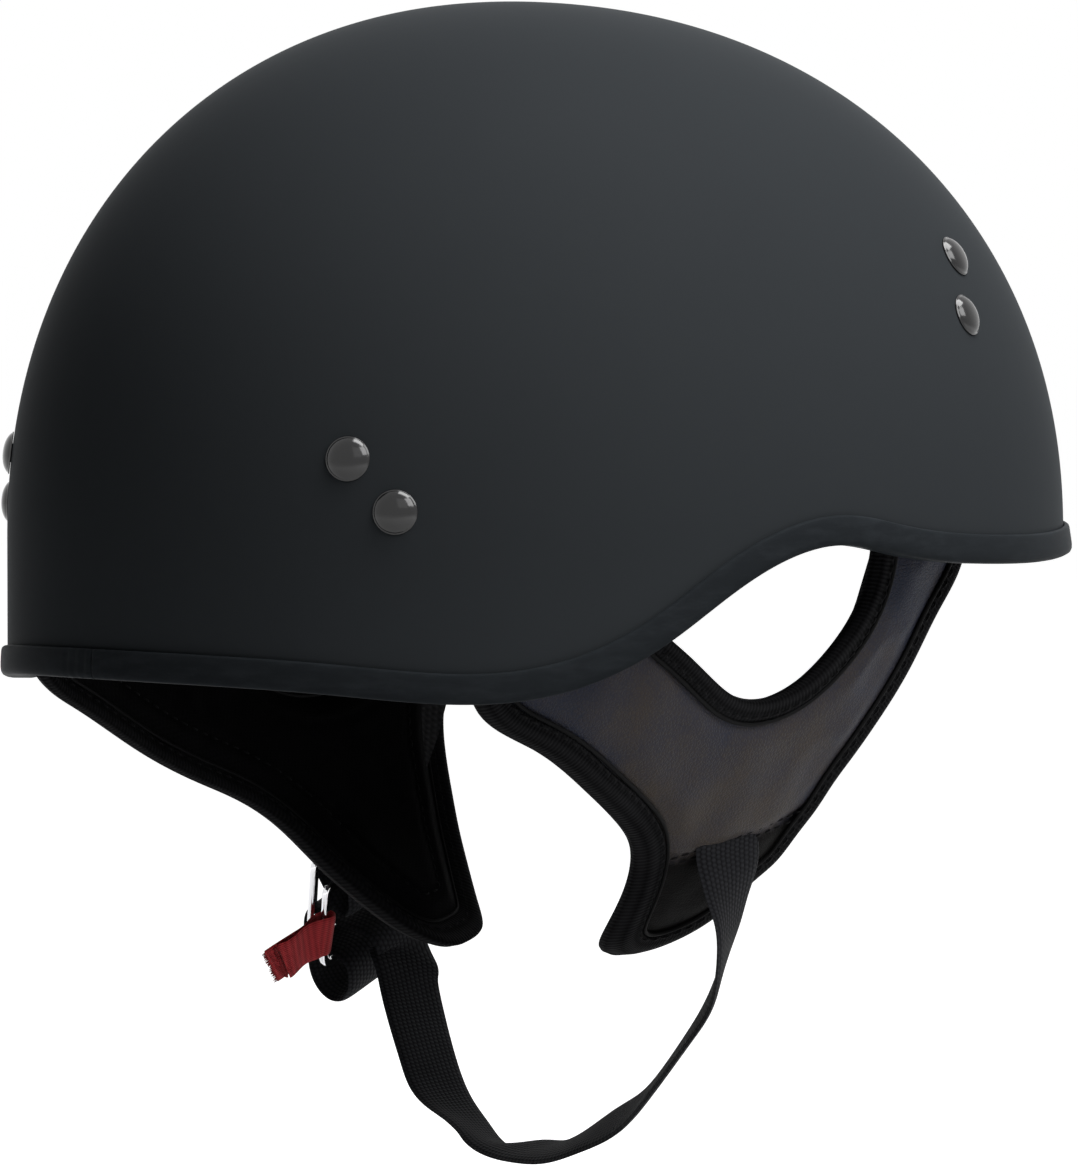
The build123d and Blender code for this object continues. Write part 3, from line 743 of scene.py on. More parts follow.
class Finishes:
    """Every finish on the helmet, each made once and handed out by name."""

    def __init__(self) -> None:
        """Lists the finishes."""
        self.kinds = {
            "shell": SatinPaint(),
            "trim": Moulding("trim_moulding", (0.0165, 0.019, 0.0215), 0.36, 0.004, 0.015),
            "rivet": Enamel(),
            "steel": Metal("washer_steel", (0.5, 0.5, 0.51), 0.3),
            "chrome": Metal("ring_chrome", (0.80, 0.80, 0.82), 0.05),
            "clip": Moulding("clip_plastic", (0.01, 0.01, 0.01), 0.4),
            "webbing": Weave("strap_webbing", (0.0016, 0.0016, 0.0019), (0.0190, 0.0195, 0.0225),
                             1.5, 1.15, 3.14, 0.22, 0.03, 0.05),
            "tape": Weave("edge_tape", (0.0016, 0.0016, 0.0018), (0.0120, 0.0120, 0.0130),
                          2.6, 0.95, 0.4, 0.28, 0.0, 0.03),
            "piping": Moulding("piping_cord", (0.003, 0.003, 0.0032), 0.55, 0.06, 0.05),
            "thread": Moulding("stitch_thread", (0.003, 0.003, 0.0033), 0.6, 0.06, 0.05),
            "ribbon": Weave("tab_ribbon", (0.16, 0.004, 0.006), (0.50, 0.030, 0.036),
                            0.55, 1.7, 0.25, 0.16, 0.15, 0.2),
            "leather": Leather(),
            "lining": Cloth("flap_lining", (0.0012, 0.0012, 0.0013), (0.0035, 0.0035, 0.0038),
                            1.1, 0.06, 0.03),
            "pad": Cloth("pad_mesh", (0.005, 0.005, 0.0055), (0.020, 0.020, 0.022), 2.1, 0.3, 0.15, 0.1),
            "foam": BeadFoam(),
        }
        self.made: dict = {}

    def get(self, name: str) -> Material:
        """The material of this name, made when it is first asked for."""
        if name not in self.made:
            self.made[name] = self.kinds[name].build()
        return self.made[name]


FINISHES = Finishes()


def dress(obj: Thing, *names: str) -> None:
    """Gives an object these finishes.

    Args:
        obj: the piece.
        names: the finishes' names, in the order of its material slots.
    """
    obj.data.materials.clear()
    for name in names:
        obj.data.materials.append(FINISHES.get(name))


def settle(obj: Thing, body: str, nodes: tuple = ()) -> None:
    """Puts a piece on its body, and hides the CAD nodes that it stands for.

    Args:
        obj: the piece.
        body: the body that it rides on.
        nodes: the CAD nodes that it replaces.
    """
    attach(obj, body)
    if nodes:
        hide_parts(*nodes)
    LOG.info("%s: %d faces on %s", obj.name, len(obj.data.polygons), body)


def finish(obj: Thing, look: str, body: str, slot: str, *nodes: str) -> None:
    """Dresses a piece in one finish and settles it."""
    dress(obj, look)
    settle(obj, body, nodes)


# Shell, trim and rivets


@dataclass
class Bowl:
    """The shell's smooth bowl, its rim curve, and what is fixed to it."""

    half_width: float = 112.0
    front_length: float = 145.0
    rear_length: float = 124.0
    height: float = 126.0
    power: float = 2.135
    wall: float = 3.5
    trim_wall: float = 1.6
    trim_height: float = 6.8
    joint_gap: float = 0.4
    flare: float = 1.3
    pucker: float = 0.16
    columns: int = 720
    outer_rows: int = 144
    inner_rows: int = 48
    rim: tuple = (
        (136.4, -29.1), (121.5, -30.0), (106.6, -31.5), (88.0, -33.6), (73.2, -32.6), (55.8, -26.6),
        (44.6, -19.9), (31.0, -10.3), (16.1, -2.6), (1.45, 0.25), (-17.4, -2.1), (-37.7, -4.4),
        (-58.0, -5.3), (-87.0, -5.5), (-116.0, -4.3), (-159.5, -2.5),
    )
    rivets: tuple = ((-60.32, 65.77), (-56.26, 52.04), (101.93, 20.03), (95.85, 8.44))

    def __post_init__(self) -> None:
        """Samples the rim's curve and the bowl's profile."""
        self.rim_line = Path(self.rim).even(0.5)[::-1]
        a = np.linspace(90.0, 0.0, 500) * math.pi / 180.0
        girth = np.cos(a).clip(0) ** (2.0 / self.power)
        level = np.sin(a) ** (2.0 / self.power)
        skirt = np.linspace(0.0, -0.4, 60)[1:]
        self.girth = np.concatenate([girth, np.ones(len(skirt))])
        self.level = np.concatenate([level, skirt])
        self.run = run_lengths(np.stack([self.girth * 0.98, self.level], axis=1))

    def rim_at(self, y: Array) -> Array:
        """The trim's lower edge, as a height over a place along the helmet."""
        return np.interp(y, self.rim_line[:, 0], self.rim_line[:, 1])

    def rim_stretch(self, y: Array) -> Array:
        """How much longer a lift is upright than square to the rim: the root of one plus slope squared."""
        slope = self.rim_at(y + 0.5) - self.rim_at(y - 0.5)
        return np.sqrt(1.0 + slope**2)

    def lengths(self, y: Array) -> Array:
        """The bowl's half length ahead of or behind the middle."""
        return np.where(y < 0.0, self.front_length, self.rear_length)

    def skin(self, angle: Array, inset: float, lift: float, rows: int) -> Array:
        """The bowl's face from its top down to the rim raised by lift.

        Args:
            angle: directions round the helmet.
            inset: how far inside the shell's outer face.
            lift: how far above the trim's lower edge it ends.
            rows: the number of levels.
        Returns:
            A grid of points: the profile's girth and level, carried round an oval of two half lengths.
        """
        oval_x = np.cos(angle)
        oval_y = np.sin(angle)
        length = self.lengths(oval_y)
        y_rim = oval_y * length
        end = self.rim_at(y_rim) + lift * self.rim_stretch(y_rim)
        z = self.level * (self.height - inset)
        z[self.level < 0] = self.level[self.level < 0] * self.height
        stop = np.interp(-end, -z, self.run)
        share = np.linspace(0.0, 1.0, rows)[:, None]
        run = share * stop[None]
        girth = np.interp(run, self.run, self.girth)
        height = np.interp(run, self.run, z)
        x, y = girth * oval_x * (self.half_width - inset), girth * oval_y * (length - inset)
        return np.stack([x, y, height], axis=-1)

    def point(self, side: int, y: float, z: float) -> tuple:
        """A place on the shell's outer face: where the bowl's curve passes over a point of the side view.

        Args:
            side: -1 for the right, 1 for the left.
            y: the place along the helmet.
            z: the height.
        Returns:
            The place, and the outward normal there.
        """
        length = self.front_length if y < 0 else self.rear_length
        level = max(z, 0.0) / self.height
        girth = (1.0 - level**self.power) ** (1.0 / self.power)
        x = side * self.half_width * math.sqrt(girth**2 - (y / length) ** 2)
        slope = level ** (self.power - 1.0) / self.height * girth ** (2.0 - self.power)
        return np.array([x, y, z]), unit(np.array([x / self.half_width**2, y / length**2, slope]))

    def build_shell(self) -> None:
        """The moulded shell: outer face, rounded lower edge and inner face in one skin."""
        angle = np.linspace(0.0, TURN, self.columns, endpoint=False)
        outer = self.skin(angle, 0.0, self.trim_wall, self.outer_rows)
        inner = self.skin(angle, self.wall, self.trim_wall, self.inner_rows)[::-1]
        grid = np.concatenate([outer, inner])
        shell = mesh_object("shell", grid.reshape(-1, 3), quads(len(grid), self.columns, wrap_cols=True))
        tidy(shell)
        finish(shell, "shell", "helmet", "shell_paint", "outer_shell")

    def build_trim(self) -> None:
        """The channel trim: one section carried round the rim from joint to joint.

        Its outer face flares towards the front, and puckers in a short wave beside the joint.
        """
        w, h, s = self.trim_wall, self.trim_height, self.wall
        section = np.array([
            (0.06, h - 0.35), (0.35, h), (w - 0.75, h - 0.02), (w - 0.30, h - 0.30), (w - 0.12, h - 0.9),
            (w - 0.02, h - 2.2), (w + 0.06, h - 3.8), (w + 0.05, 1.9), (w - 0.10, 1.0), (w - 0.45, 0.4),
            (w - 1.0, 0.1), (0.0, 0.0), (-s, 0.0),
            (-s - w + 1.0, 0.1), (-s - w + 0.45, 0.4), (-s - w + 0.1, 1.0),
            (-s - w, 2.0), (-s - w, h - 1.2), (-s - w + 0.4, h - 0.3), (-s - 0.5, h), (-s - 0.06, h - 0.3),
            (-s - 0.06, 1.58), (0.06, 1.58),
        ])
        gap = self.joint_gap / 2.0 / self.half_width
        angle = np.linspace(gap, TURN - gap, self.columns + 1) + math.pi / 2.0
        oval_x, oval_y = np.cos(angle), np.sin(angle)
        length = self.lengths(oval_y)
        base = np.stack([oval_x * self.half_width, oval_y * length], axis=1)
        out = unit(np.stack([oval_x / self.half_width, oval_y / length], axis=1))
        low = self.rim_at(base[:, 1])
        rise = self.rim_stretch(base[:, 1])
        front = smooth_step((-oval_y - 0.55) / 0.45)
        flare = self.flare * front[:, None] * np.clip(1.0 - section[None, :, 1] / h, 0.0, 1.0) ** 1.5
        run = run_lengths(base)
        near = np.exp(-((np.minimum(run, run[-1] - run) - 4.0) / 7.0) ** 2)
        pucker = self.pucker * near * np.sin(run * 1.9)
        outside = np.where(section[:, 0] > 0.0, 1.0, 0.0)[None]
        offset = section[None, :, 0] + outside * (flare + pucker[:, None])
        xy = base[:, None] + out[:, None] * offset[..., None]
        z = low[:, None] + rise[:, None] * section[None, :, 1]
        rings = np.concatenate([xy, z[..., None]], axis=-1)
        trim = tube("rim_channel", rings)
        bevel = trim.modifiers.new("ease", "BEVEL")
        bevel.width = 0.12 * MM
        bevel.segments = 2
        bevel.limit_method = "ANGLE"
        bevel.angle_limit = math.radians(35.0)
        finish(trim, "trim", "helmet", "trim_plastic", "rim_trim")

    def build_rivets(self) -> None:
        """Eight domed rivets in one piece: a turned profile set square to the shell."""
        profile = np.array([
            (0.0, 2.10), (0.8, 2.08), (1.6, 1.99), (2.4, 1.82), (3.1, 1.59), (3.7, 1.29), (4.25, 0.92),
            (4.62, 0.56), (4.74, 0.38), (4.92, 0.34), (5.00, 0.22), (4.96, 0.05), (2.2, 0.05), (2.2, -6.4),
            (3.4, -6.45), (3.3, -7.2), (0.0, -7.35),
        ])
        sides = 64
        angle = np.linspace(0.0, TURN, sides, endpoint=False)
        disc = np.stack([profile[:, :1] * np.cos(angle), profile[:, :1] * np.sin(angle),
                         np.broadcast_to(profile[:, 1:], (len(profile), sides))], axis=-1)
        one = quads(len(profile), sides, wrap_cols=True)
        verts, faces = [], []
        for side in Side:
            for y, z in self.rivets:
                place, normal = self.point(side.value, y, z)
                u = unit(np.cross(normal, [0.0, 0.0, 1.0]))
                v = np.cross(normal, u)
                turned = place + disc @ np.stack([u, v, normal])
                faces += (one + len(verts) * disc[..., 0].size).tolist()
                verts.append(turned.reshape(-1, 3))
        rivets = mesh_object("rivets", np.concatenate(verts), faces)
        tidy(rivets)
        finish(rivets, "rivet", "helmet", "rivet_black", "strap_rivets")


# Ear flaps


@dataclass
class FlapSheet:
    """The curved sheet that an ear flap lies on: an upright arc swung round an upright line."""

    side: Side
    radius: float = 135.0
    arc_x: float = -40.1
    rise: float = 14.6
    axis_x: float = -130.0
    centre_y: float = 2.0

    def at(self, yz: Array, depth: Array) -> Array:
        """Places at a depth under the sheet's outer face.

        Args:
            yz: rows of the place along the helmet and the height.
            depth: one depth for each row; less than zero is proud of the face.
        Returns:
            Rows of three: the arc gives the reach at that height, and the swing gives the sideways place.
        """
        r = self.radius - depth
        reach = self.arc_x + np.sqrt(r**2 - (yz[:, 1] - self.rise) ** 2) - self.axis_x
        x = self.axis_x + np.sqrt(reach**2 - (yz[:, 0] - self.centre_y) ** 2)
        return np.stack([self.side.value * x, yz[:, 0], yz[:, 1]], axis=1)

    def normal(self, yz: Array) -> Array:
        """The outward direction at these places, from two depths."""
        zero = np.zeros(len(yz))
        return unit(self.at(yz, zero - 0.05) - self.at(yz, zero + 0.05))


@dataclass
class EarFlap:
    """One padded ear flap: leather outside, lining inside, tape and piping round its edges, and its seams."""

    side: Side
    bowl: Bowl
    wall: float = 3.8
    belly: float = 6.6
    tape_width: float = 4.8
    tuck: float = 16.0
    pitch: float = 1.25
    taped: float = 3.4
    swell_run: float = 7.5
    proud: float = 1.55
    slack_depth: float = 0.42
    crease_depth: float = 0.55
    seam_depth: float = 1.25
    seam_width: float = 1.5
    quilt_line: float = 11.5
    quilt_depth: float = 0.8
    quilt_width: float = 0.9
    piping: float = 0.55
    grid_y: tuple = (-70.0, 84.0)
    grid_z: tuple = (-98.0, 14.0)
    edge_right: tuple = (
        (78, -10), (76.5, -25), (71.1, -36.1), (55.6, -44.9), (38.1, -55.1), (25.4, -63.1), (17.2, -69.7),
        (13.3, -75.1), (9.8, -82), (6, -90.2), (3.2, -94), (-1.5, -96.5), (-8, -96.7), (-14, -95),
        (-19.5, -91.8), (-23.2, -87.5), (-25.8, -80.8), (-29.7, -75.5), (-31.6, -68.9), (-33.8, -63.2),
        (-35.8, -56.7), (-39, -50.7), (-43.2, -43.7), (-51.4, -29.7), (-58.2, -17.2), (-65.2, -7.7), (-69, 8),
    )
    edge_left: tuple = (
        (93, -8), (93.5, -22), (91.5, -32), (78.7, -40.8), (57.5, -52.8), (41.5, -60.2), (26.9, -67.2),
        (20.6, -73.3), (16.4, -80.3), (9.6, -90.8), (5.2, -96), (-1.5, -98.9), (-8, -98.2), (-15.8, -95.2),
        (-19.7, -90.5), (-24.9, -81.5), (-28.5, -73.5), (-31.5, -66), (-35.1, -55.2), (-39.1, -45),
        (-50, -29), (-57, -16.5), (-64, -7), (-69, 8),
    )
    hole: tuple = (
        (-32.6, 5), (-32.2, -2), (-31.3, -8.6), (-28.3, -16.4), (-21.6, -25), (-13.2, -31.8), (-3, -35.5),
        (3.6, -35.6), (8.4, -34.4), (16, -30.3), (24.2, -24.8), (29.8, -21.2), (37, -16), (44, -8),
    )
    cross_seam: tuple = ((13.2, -75.2), (1.7, -71.9), (-8, -69.6), (-19.4, -66.4), (-32.6, -62.4))
    sheet: FlapSheet = field(init=False)

    def __post_init__(self) -> None:
        """Samples the two edges and trims them where the flap tucks into the liner."""
        self.sheet = FlapSheet(self.side)
        self.name = self.side.name.lower()
        edge = self.edge_right if self.side is Side.RIGHT else self.edge_left
        self.edge_line = self.under_tuck(Path(edge).even(1.0))
        self.hole_line = self.under_tuck(Path(self.hole).even(1.0))
        self.seam_line = Path(self.cross_seam).even(1.0)

    def under_tuck(self, line: Array) -> Array:
        """The part of a line that lies below the flap's hidden upper end."""
        top = self.bowl.rim_at(line[:, 0]) + self.tuck * self.bowl.rim_stretch(line[:, 0])
        return line[line[:, 1] < top]

    def outline(self) -> Array:
        """The whole outline as one loop: edge, hidden upper end, ear hole, and the other upper end."""
        def top(a: Array, b: Array) -> Array:
            """The hidden upper end from one edge's last point to the next edge's first."""
            y = np.linspace(a[0], b[0], 20)[1:-1]
            return np.stack([y, self.bowl.rim_at(y) + self.tuck * self.bowl.rim_stretch(y)], axis=1)

        e, h = self.edge_line, self.hole_line
        return np.concatenate([e, top(e[-1], h[0]), h, top(h[-1], e[0])])

    def inner_points(self, closed: Array) -> Array:
        """Points of a triangle grid inside the outline: those with an odd number of crossings to one side.

        Args:
            closed: the outline, with its first point again at the end.
        Returns:
            Rows of places, none of them close to the outline.
        """
        pitch = self.pitch
        ys = np.arange(*self.grid_y, pitch)
        zs = np.arange(*self.grid_z, pitch * 0.866)
        gy, gz = np.meshgrid(ys, zs, indexing="ij")
        gy = gy + pitch * 0.5 * (np.arange(len(zs)) % 2)[None]
        grid = np.stack([gy.ravel(), gz.ravel()], axis=1)
        crossing = np.zeros(len(grid), bool)
        for (y0, z0), (y1, z1) in zip(closed[:-1], closed[1:]):
            spans = (z0 > grid[:, 1]) != (z1 > grid[:, 1])
            crossing ^= spans & (grid[:, 0] < (y1 - y0) * (grid[:, 1] - z0) / (z1 - z0 + 1e-12) + y0)
        inner = grid[crossing]
        return inner[distance_to(inner, closed) > 0.55 * pitch]

    def depths(self, yz: Array) -> tuple:
        """How deep the panel's two faces lie.

        A face stands proud by a swell that grows with the distance from the taped edges, sinks along the
        seams, and is creased by waves across the narrow front leg.

        Args:
            yz: rows of places in the side view.
        Returns:
            The leather's depth, the lining's depth, and a mask that is 1 below the cross seam, which the
            leather uses for painted shade.
        """
        taped = np.minimum(distance_to(yz, self.edge_line), distance_to(yz, self.hole_line))
        seam = distance_to(yz, self.seam_line)
        swell = smooth_step((taped - self.taped) / self.swell_run)
        slack = ripples(yz * np.array([1.0, 0.7]), 21.0, 5 + self.side.value)
        leg = smooth_step((-yz[:, 0] - 8.0) / 22.0) * smooth_step((yz[:, 1] + 66.0) / 14.0)
        slope = (yz[:, 0] * 0.55 + yz[:, 1]) / 7.6
        crease = -np.abs(np.sin(slope * 1.6 + 0.7 * slack)) ** 0.7 + 0.6
        seam_z = np.interp(yz[:, 0], self.seam_line[::-1, 0], self.seam_line[::-1, 1])
        # 1 below the cross seam: the pocket sits deeper here, and the leather paints it dark as shade.
        below = smooth_step((seam_z - yz[:, 1]) / self.seam_width)
        outer = 0.55 - self.proud * swell - self.slack_depth * slack * swell
        outer = outer - self.crease_depth * crease * leg * swell
        outer += self.seam_depth * np.exp(-((seam / self.seam_width) ** 2)) + 0.5 * below * swell
        fold = ripples(yz, 15.0, 11) ** 2
        lining = self.wall - 0.35 + (self.belly - self.wall + 1.1) * swell
        lining = lining + 0.3 * slack * swell - 0.35 * fold * swell
        lining -= self.quilt_depth * np.exp(-(((taped - self.quilt_line) / self.quilt_width) ** 2))
        return outer, lining, below

    def build_panel(self) -> None:
        """The padded panel: two faces that share one mesh of triangles, and walls along its outline."""
        loop = self.outline()
        inner = self.inner_points(np.concatenate([loop, loop[:1]]))
        points = np.concatenate([loop, inner])
        out = geometry.delaunay_2d_cdt([Vector(p) for p in points], [], [list(range(len(loop)))], 1, 1e-5)
        yz = np.array([tuple(v) for v in out[0]])
        faces = np.array([f for f in out[2] if len(f) == 3])
        outer, lining, below = self.depths(yz)
        n = len(yz)
        verts = np.concatenate([self.sheet.at(yz, outer), self.sheet.at(yz, lining)])
        made = {source: k for k, sources in enumerate(out[3]) for source in sources}
        ring = [made[k] for k in range(len(loop))]
        walls = [[a, b, b + n, a + n] for a, b in zip(ring, ring[1:] + ring[:1])]
        both = faces.tolist() + (faces[:, ::-1] + n).tolist() + walls
        panel = mesh_object(f"{self.name}_flap_panel", verts, both)
        turn_outward(panel)
        # The mask below the cross seam goes on the mesh for the leather's painted shade.
        painted_shade = panel.data.attributes.new("painted_shade", "FLOAT", "POINT")
        painted_shade.data.foreach_set("value", np.concatenate([below, below]).astype(np.float32))
        dress(panel, "leather", "lining")
        index = np.concatenate([np.zeros(len(faces), int), np.ones(len(faces) + len(walls), int)])
        panel.data.polygons.foreach_set("material_index", index)
        nodes = tuple(f"{self.name}_flap_{part}" for part in ("leather", "foam", "lining"))
        settle(panel, "helmet", nodes)

    def inward(self, line: Array) -> Array:
        """Directions in the side view from an edge into the leather: the right of its own direction."""
        way = tangents(line)
        return np.stack([way[:, 1], -way[:, 0]], axis=1)

    def build_tape(self, part: str, line: Array) -> None:
        """Tape wrapped over one edge, with a piping cord along its inner side.

        Args:
            part: the CAD node's last words.
            line: the edge in the side view; the tape's section is carried along it.
        """
        t, w = self.wall, self.tape_width
        section = np.array([
            (w + 0.1, 0.30), (w - 0.1, -0.20), (w - 0.7, -0.55), (w - 1.8, -0.80), (w - 3.2, -0.92),
            (1.0, -0.80), (0.30, -0.45), (-0.15, 0.25), (-0.45, 1.4), (-0.6, t / 2), (-0.45, t - 1.4),
            (-0.15, t - 0.25), (0.30, t + 0.45), (1.0, t + 0.80), (w - 3.2, t + 0.92),
            (w - 1.8, t + 0.80), (w - 0.7, t + 0.55),
            (w - 0.1, t + 0.20), (w + 0.1, t - 0.30), (w - 0.6, t - 0.45), (0.9, t - 0.35),
            (0.35, t / 2), (0.9, 0.35), (w - 0.6, 0.45),
        ])
        into = self.inward(line)
        run = run_lengths(line)
        wave = 1.0 + 0.06 * ripples(run[:, None], 23.0, 3)
        flat = line[:, None] + into[:, None] * section[None, :, :1] * wave[:, None, None]
        depth = np.broadcast_to(section[None, :, 1], flat.shape[:2])
        rings = self.sheet.at(flat.reshape(-1, 2), depth.ravel()).reshape(*flat.shape[:2], 3)
        across = run_lengths(section) / 10.0
        uvs = np.stack(np.broadcast_arrays(run[:, None] / 10.0, across[None]), axis=-1)
        tape = tube(f"{self.name}_{part}_wrap", rings, uvs=uvs)
        finish(tape, "tape", "helmet", "edge_tape", f"{self.name}_flap_{part}")
        for face, level in (("outer", -0.32), ("inner", t + 0.32)):
            self.build_piping(f"{self.name}_{part}_piping_{face}", line + into * (w + 0.35), level)
        stitch = line + into * (w - 1.1)
        for face, level, sign in (("outer", -0.78, 1.0), ("inner", t + 0.78, -1.0)):
            self.sew(f"{part}_stitches_{face}", stitch, level, sign, 3.1, 2.3, 0.22)

    def sew(self, part: str, line: Array, level: float, sign: float, *gauge: float) -> None:
        """A row of stitches along a line of the side view.

        Args:
            part: the piece's last words.
            line: the line in the side view.
            level: its depth under the sheet's outer face.
            sign: 1 for the outer face, -1 for the inner one.
            gauge: the stitches' pitch, length and radius.
        """
        rows = self.sheet.at(line, np.full(len(line), level))
        thread = stitch_row(f"{self.name}_{part}", rows, sign * self.sheet.normal(line), *gauge)
        finish(thread, "thread", "helmet", "edge_tape")

    def build_piping(self, name: str, line: Array, level: float) -> None:
        """A thin cord: a circle carried along a line at one depth.

        Args:
            name: the piece's name.
            line: the line in the side view.
            level: its depth under the sheet's outer face.
        """
        rows = self.sheet.at(line, np.full(len(line), level))
        up = self.sheet.normal(line)
        ring = circle(10, np.cross(tangents(rows), up), up)
        finish(tube(name, rows[:, None] + self.piping * ring), "piping", "helmet", "edge_tape")

    def build_seams(self) -> None:
        """Rows of thread along the cross seam on the leather, and along the lining's inner line."""
        for k, shift in enumerate((-0.9, 0.9)):
            line = self.seam_line + self.inward(self.seam_line) * shift
            self.sew(f"seam_{k}", line, 0.05, 1.0, 2.9, 2.1, 0.24)
        inner = self.edge_line + self.inward(self.edge_line) * self.quilt_line
        inner = Path(inner[6:-6:6]).even(1.0)
        self.sew("lining_seam", inner, self.belly + 0.25, -1.0, 3.2, 2.3, 0.22)

    def build(self) -> None:
        """Makes the whole flap."""
        self.build_panel()
        self.build_tape("edge_tape", self.edge_line)
        self.build_tape("ear_tape", self.hole_line)
        self.build_seams()


# Straps and buckle


@dataclass
class Buckle:
    """The buckle's plane and its rings: places are outward from the wearer, and up."""

    origin: tuple = (65.9604, -8.184, -70.034)
    outward: tuple = (0.926008, 0.316594, 0.205615)
    up: tuple = (-0.291629, 0.254077, 0.92217)
    width: tuple = (0.239711, -0.9139, 0.327606)
    ring_height: float = 24.6
    ring_bar: float = 2.4
    ring_plate: float = 1.6
    ring_half: float = 13.7
    corner: float = 5.5
    top_corner: float = 1.4
    outer_seat: tuple = (6.8, -9.9)
    outer_tilt: float = 4.5
    inner_seat: tuple = (3.4, -16.1)
    inner_tilt: float = 4.1

    def place(self, rows: Array) -> Array:
        """Places in the row frame: so far outward, so far up, and so far along the width.

        Args:
            rows: rows of outward and up, with an optional shift along the width.
        Returns:
            A place for each row.
        """
        rows = np.atleast_2d(np.asarray(rows, float))
        shift = rows[:, 2:3] if rows.shape[1] > 2 else 0.0
        plane = rows[:, :1] * np.array(self.outward) + rows[:, 1:2] * np.array(self.up)
        return np.array(self.origin) + plane + shift * np.array(self.width)

    def stations(self, rows: tuple) -> Array:
        """Strap stations in the buckle's plane."""
        place = self.place(rows)
        return np.concatenate([place, np.broadcast_to(self.width, place.shape)], axis=1)

    def ring_axes(self, seat: tuple, tilt: float) -> tuple:
        """A ring's place and directions, leant over by its tilt.

        Args:
            seat: where its bar lies in the buckle's plane.
            tilt: its lean in degrees.
        Returns:
            The place, and the ring's own rearward, upward and outward directions.
        """
        lean, o, v = math.radians(tilt), np.array(self.outward), np.array(self.up)
        out = o * math.cos(lean) + v * math.sin(lean)
        rear = -np.array(self.width)
        return self.place([seat])[0], rear, np.cross(out, rear), out

    def build_ring(self, name: str, node: str, body: str, seat: tuple, tilt: float) -> None:
        """A stamped D-ring: a rounded bar carried round a flat loop with two large and two small corners.

        Args:
            name: the piece's name.
            node: the CAD node that it replaces.
            body: the body that it rides on.
            seat: where its bar lies in the buckle's plane.
            tilt: its lean in degrees.
        """
        place, rear, up, out = self.ring_axes(seat, tilt)
        half = self.ring_half - self.ring_bar / 2.0
        top, low = 0.0, -(self.ring_height - self.ring_bar)
        big, small = self.corner - self.ring_bar / 2.0, self.top_corner

        def arc(cx: float, cy: float, r: float, start: float) -> Array:
            """A quarter turn about a centre, from a starting angle in degrees."""
            a = np.radians(np.linspace(start, start - 90.0, 14))
            return np.stack([cx + r * np.cos(a), cy + r * np.sin(a)], axis=1)

        flat = np.concatenate([
            arc(half - small, top - small, small, 90.0), arc(half - big, low + big, big, 0.0),
            arc(-half + big, low + big, big, -90.0), arc(-half + small, top - small, small, 180.0),
        ])
        flat = np.concatenate([flat, flat[:1]])
        run = run_lengths(flat)
        t = np.linspace(0.0, run[-1], 240, endpoint=False)
        flat = sampled(t, run, flat)
        way = tangents(flat, closed=True)
        side = np.stack([way[:, 1], -way[:, 0]], axis=1)
        a = np.linspace(0.0, TURN, 20, endpoint=False)
        power = 2.0 / 4.0
        sx = self.ring_bar / 2.0 * np.sign(np.cos(a)) * np.abs(np.cos(a)) ** power
        sz = self.ring_plate / 2.0 * np.sign(np.sin(a)) * np.abs(np.sin(a)) ** power
        plane = flat[:, None] + side[:, None] * sx[None, :, None]
        rings = place + plane[..., :1] * rear + plane[..., 1:] * up + sz[None, :, None] * out
        ring = tube(name, rings, closed=True)
        finish(ring, "chrome", body, "chrome", node)


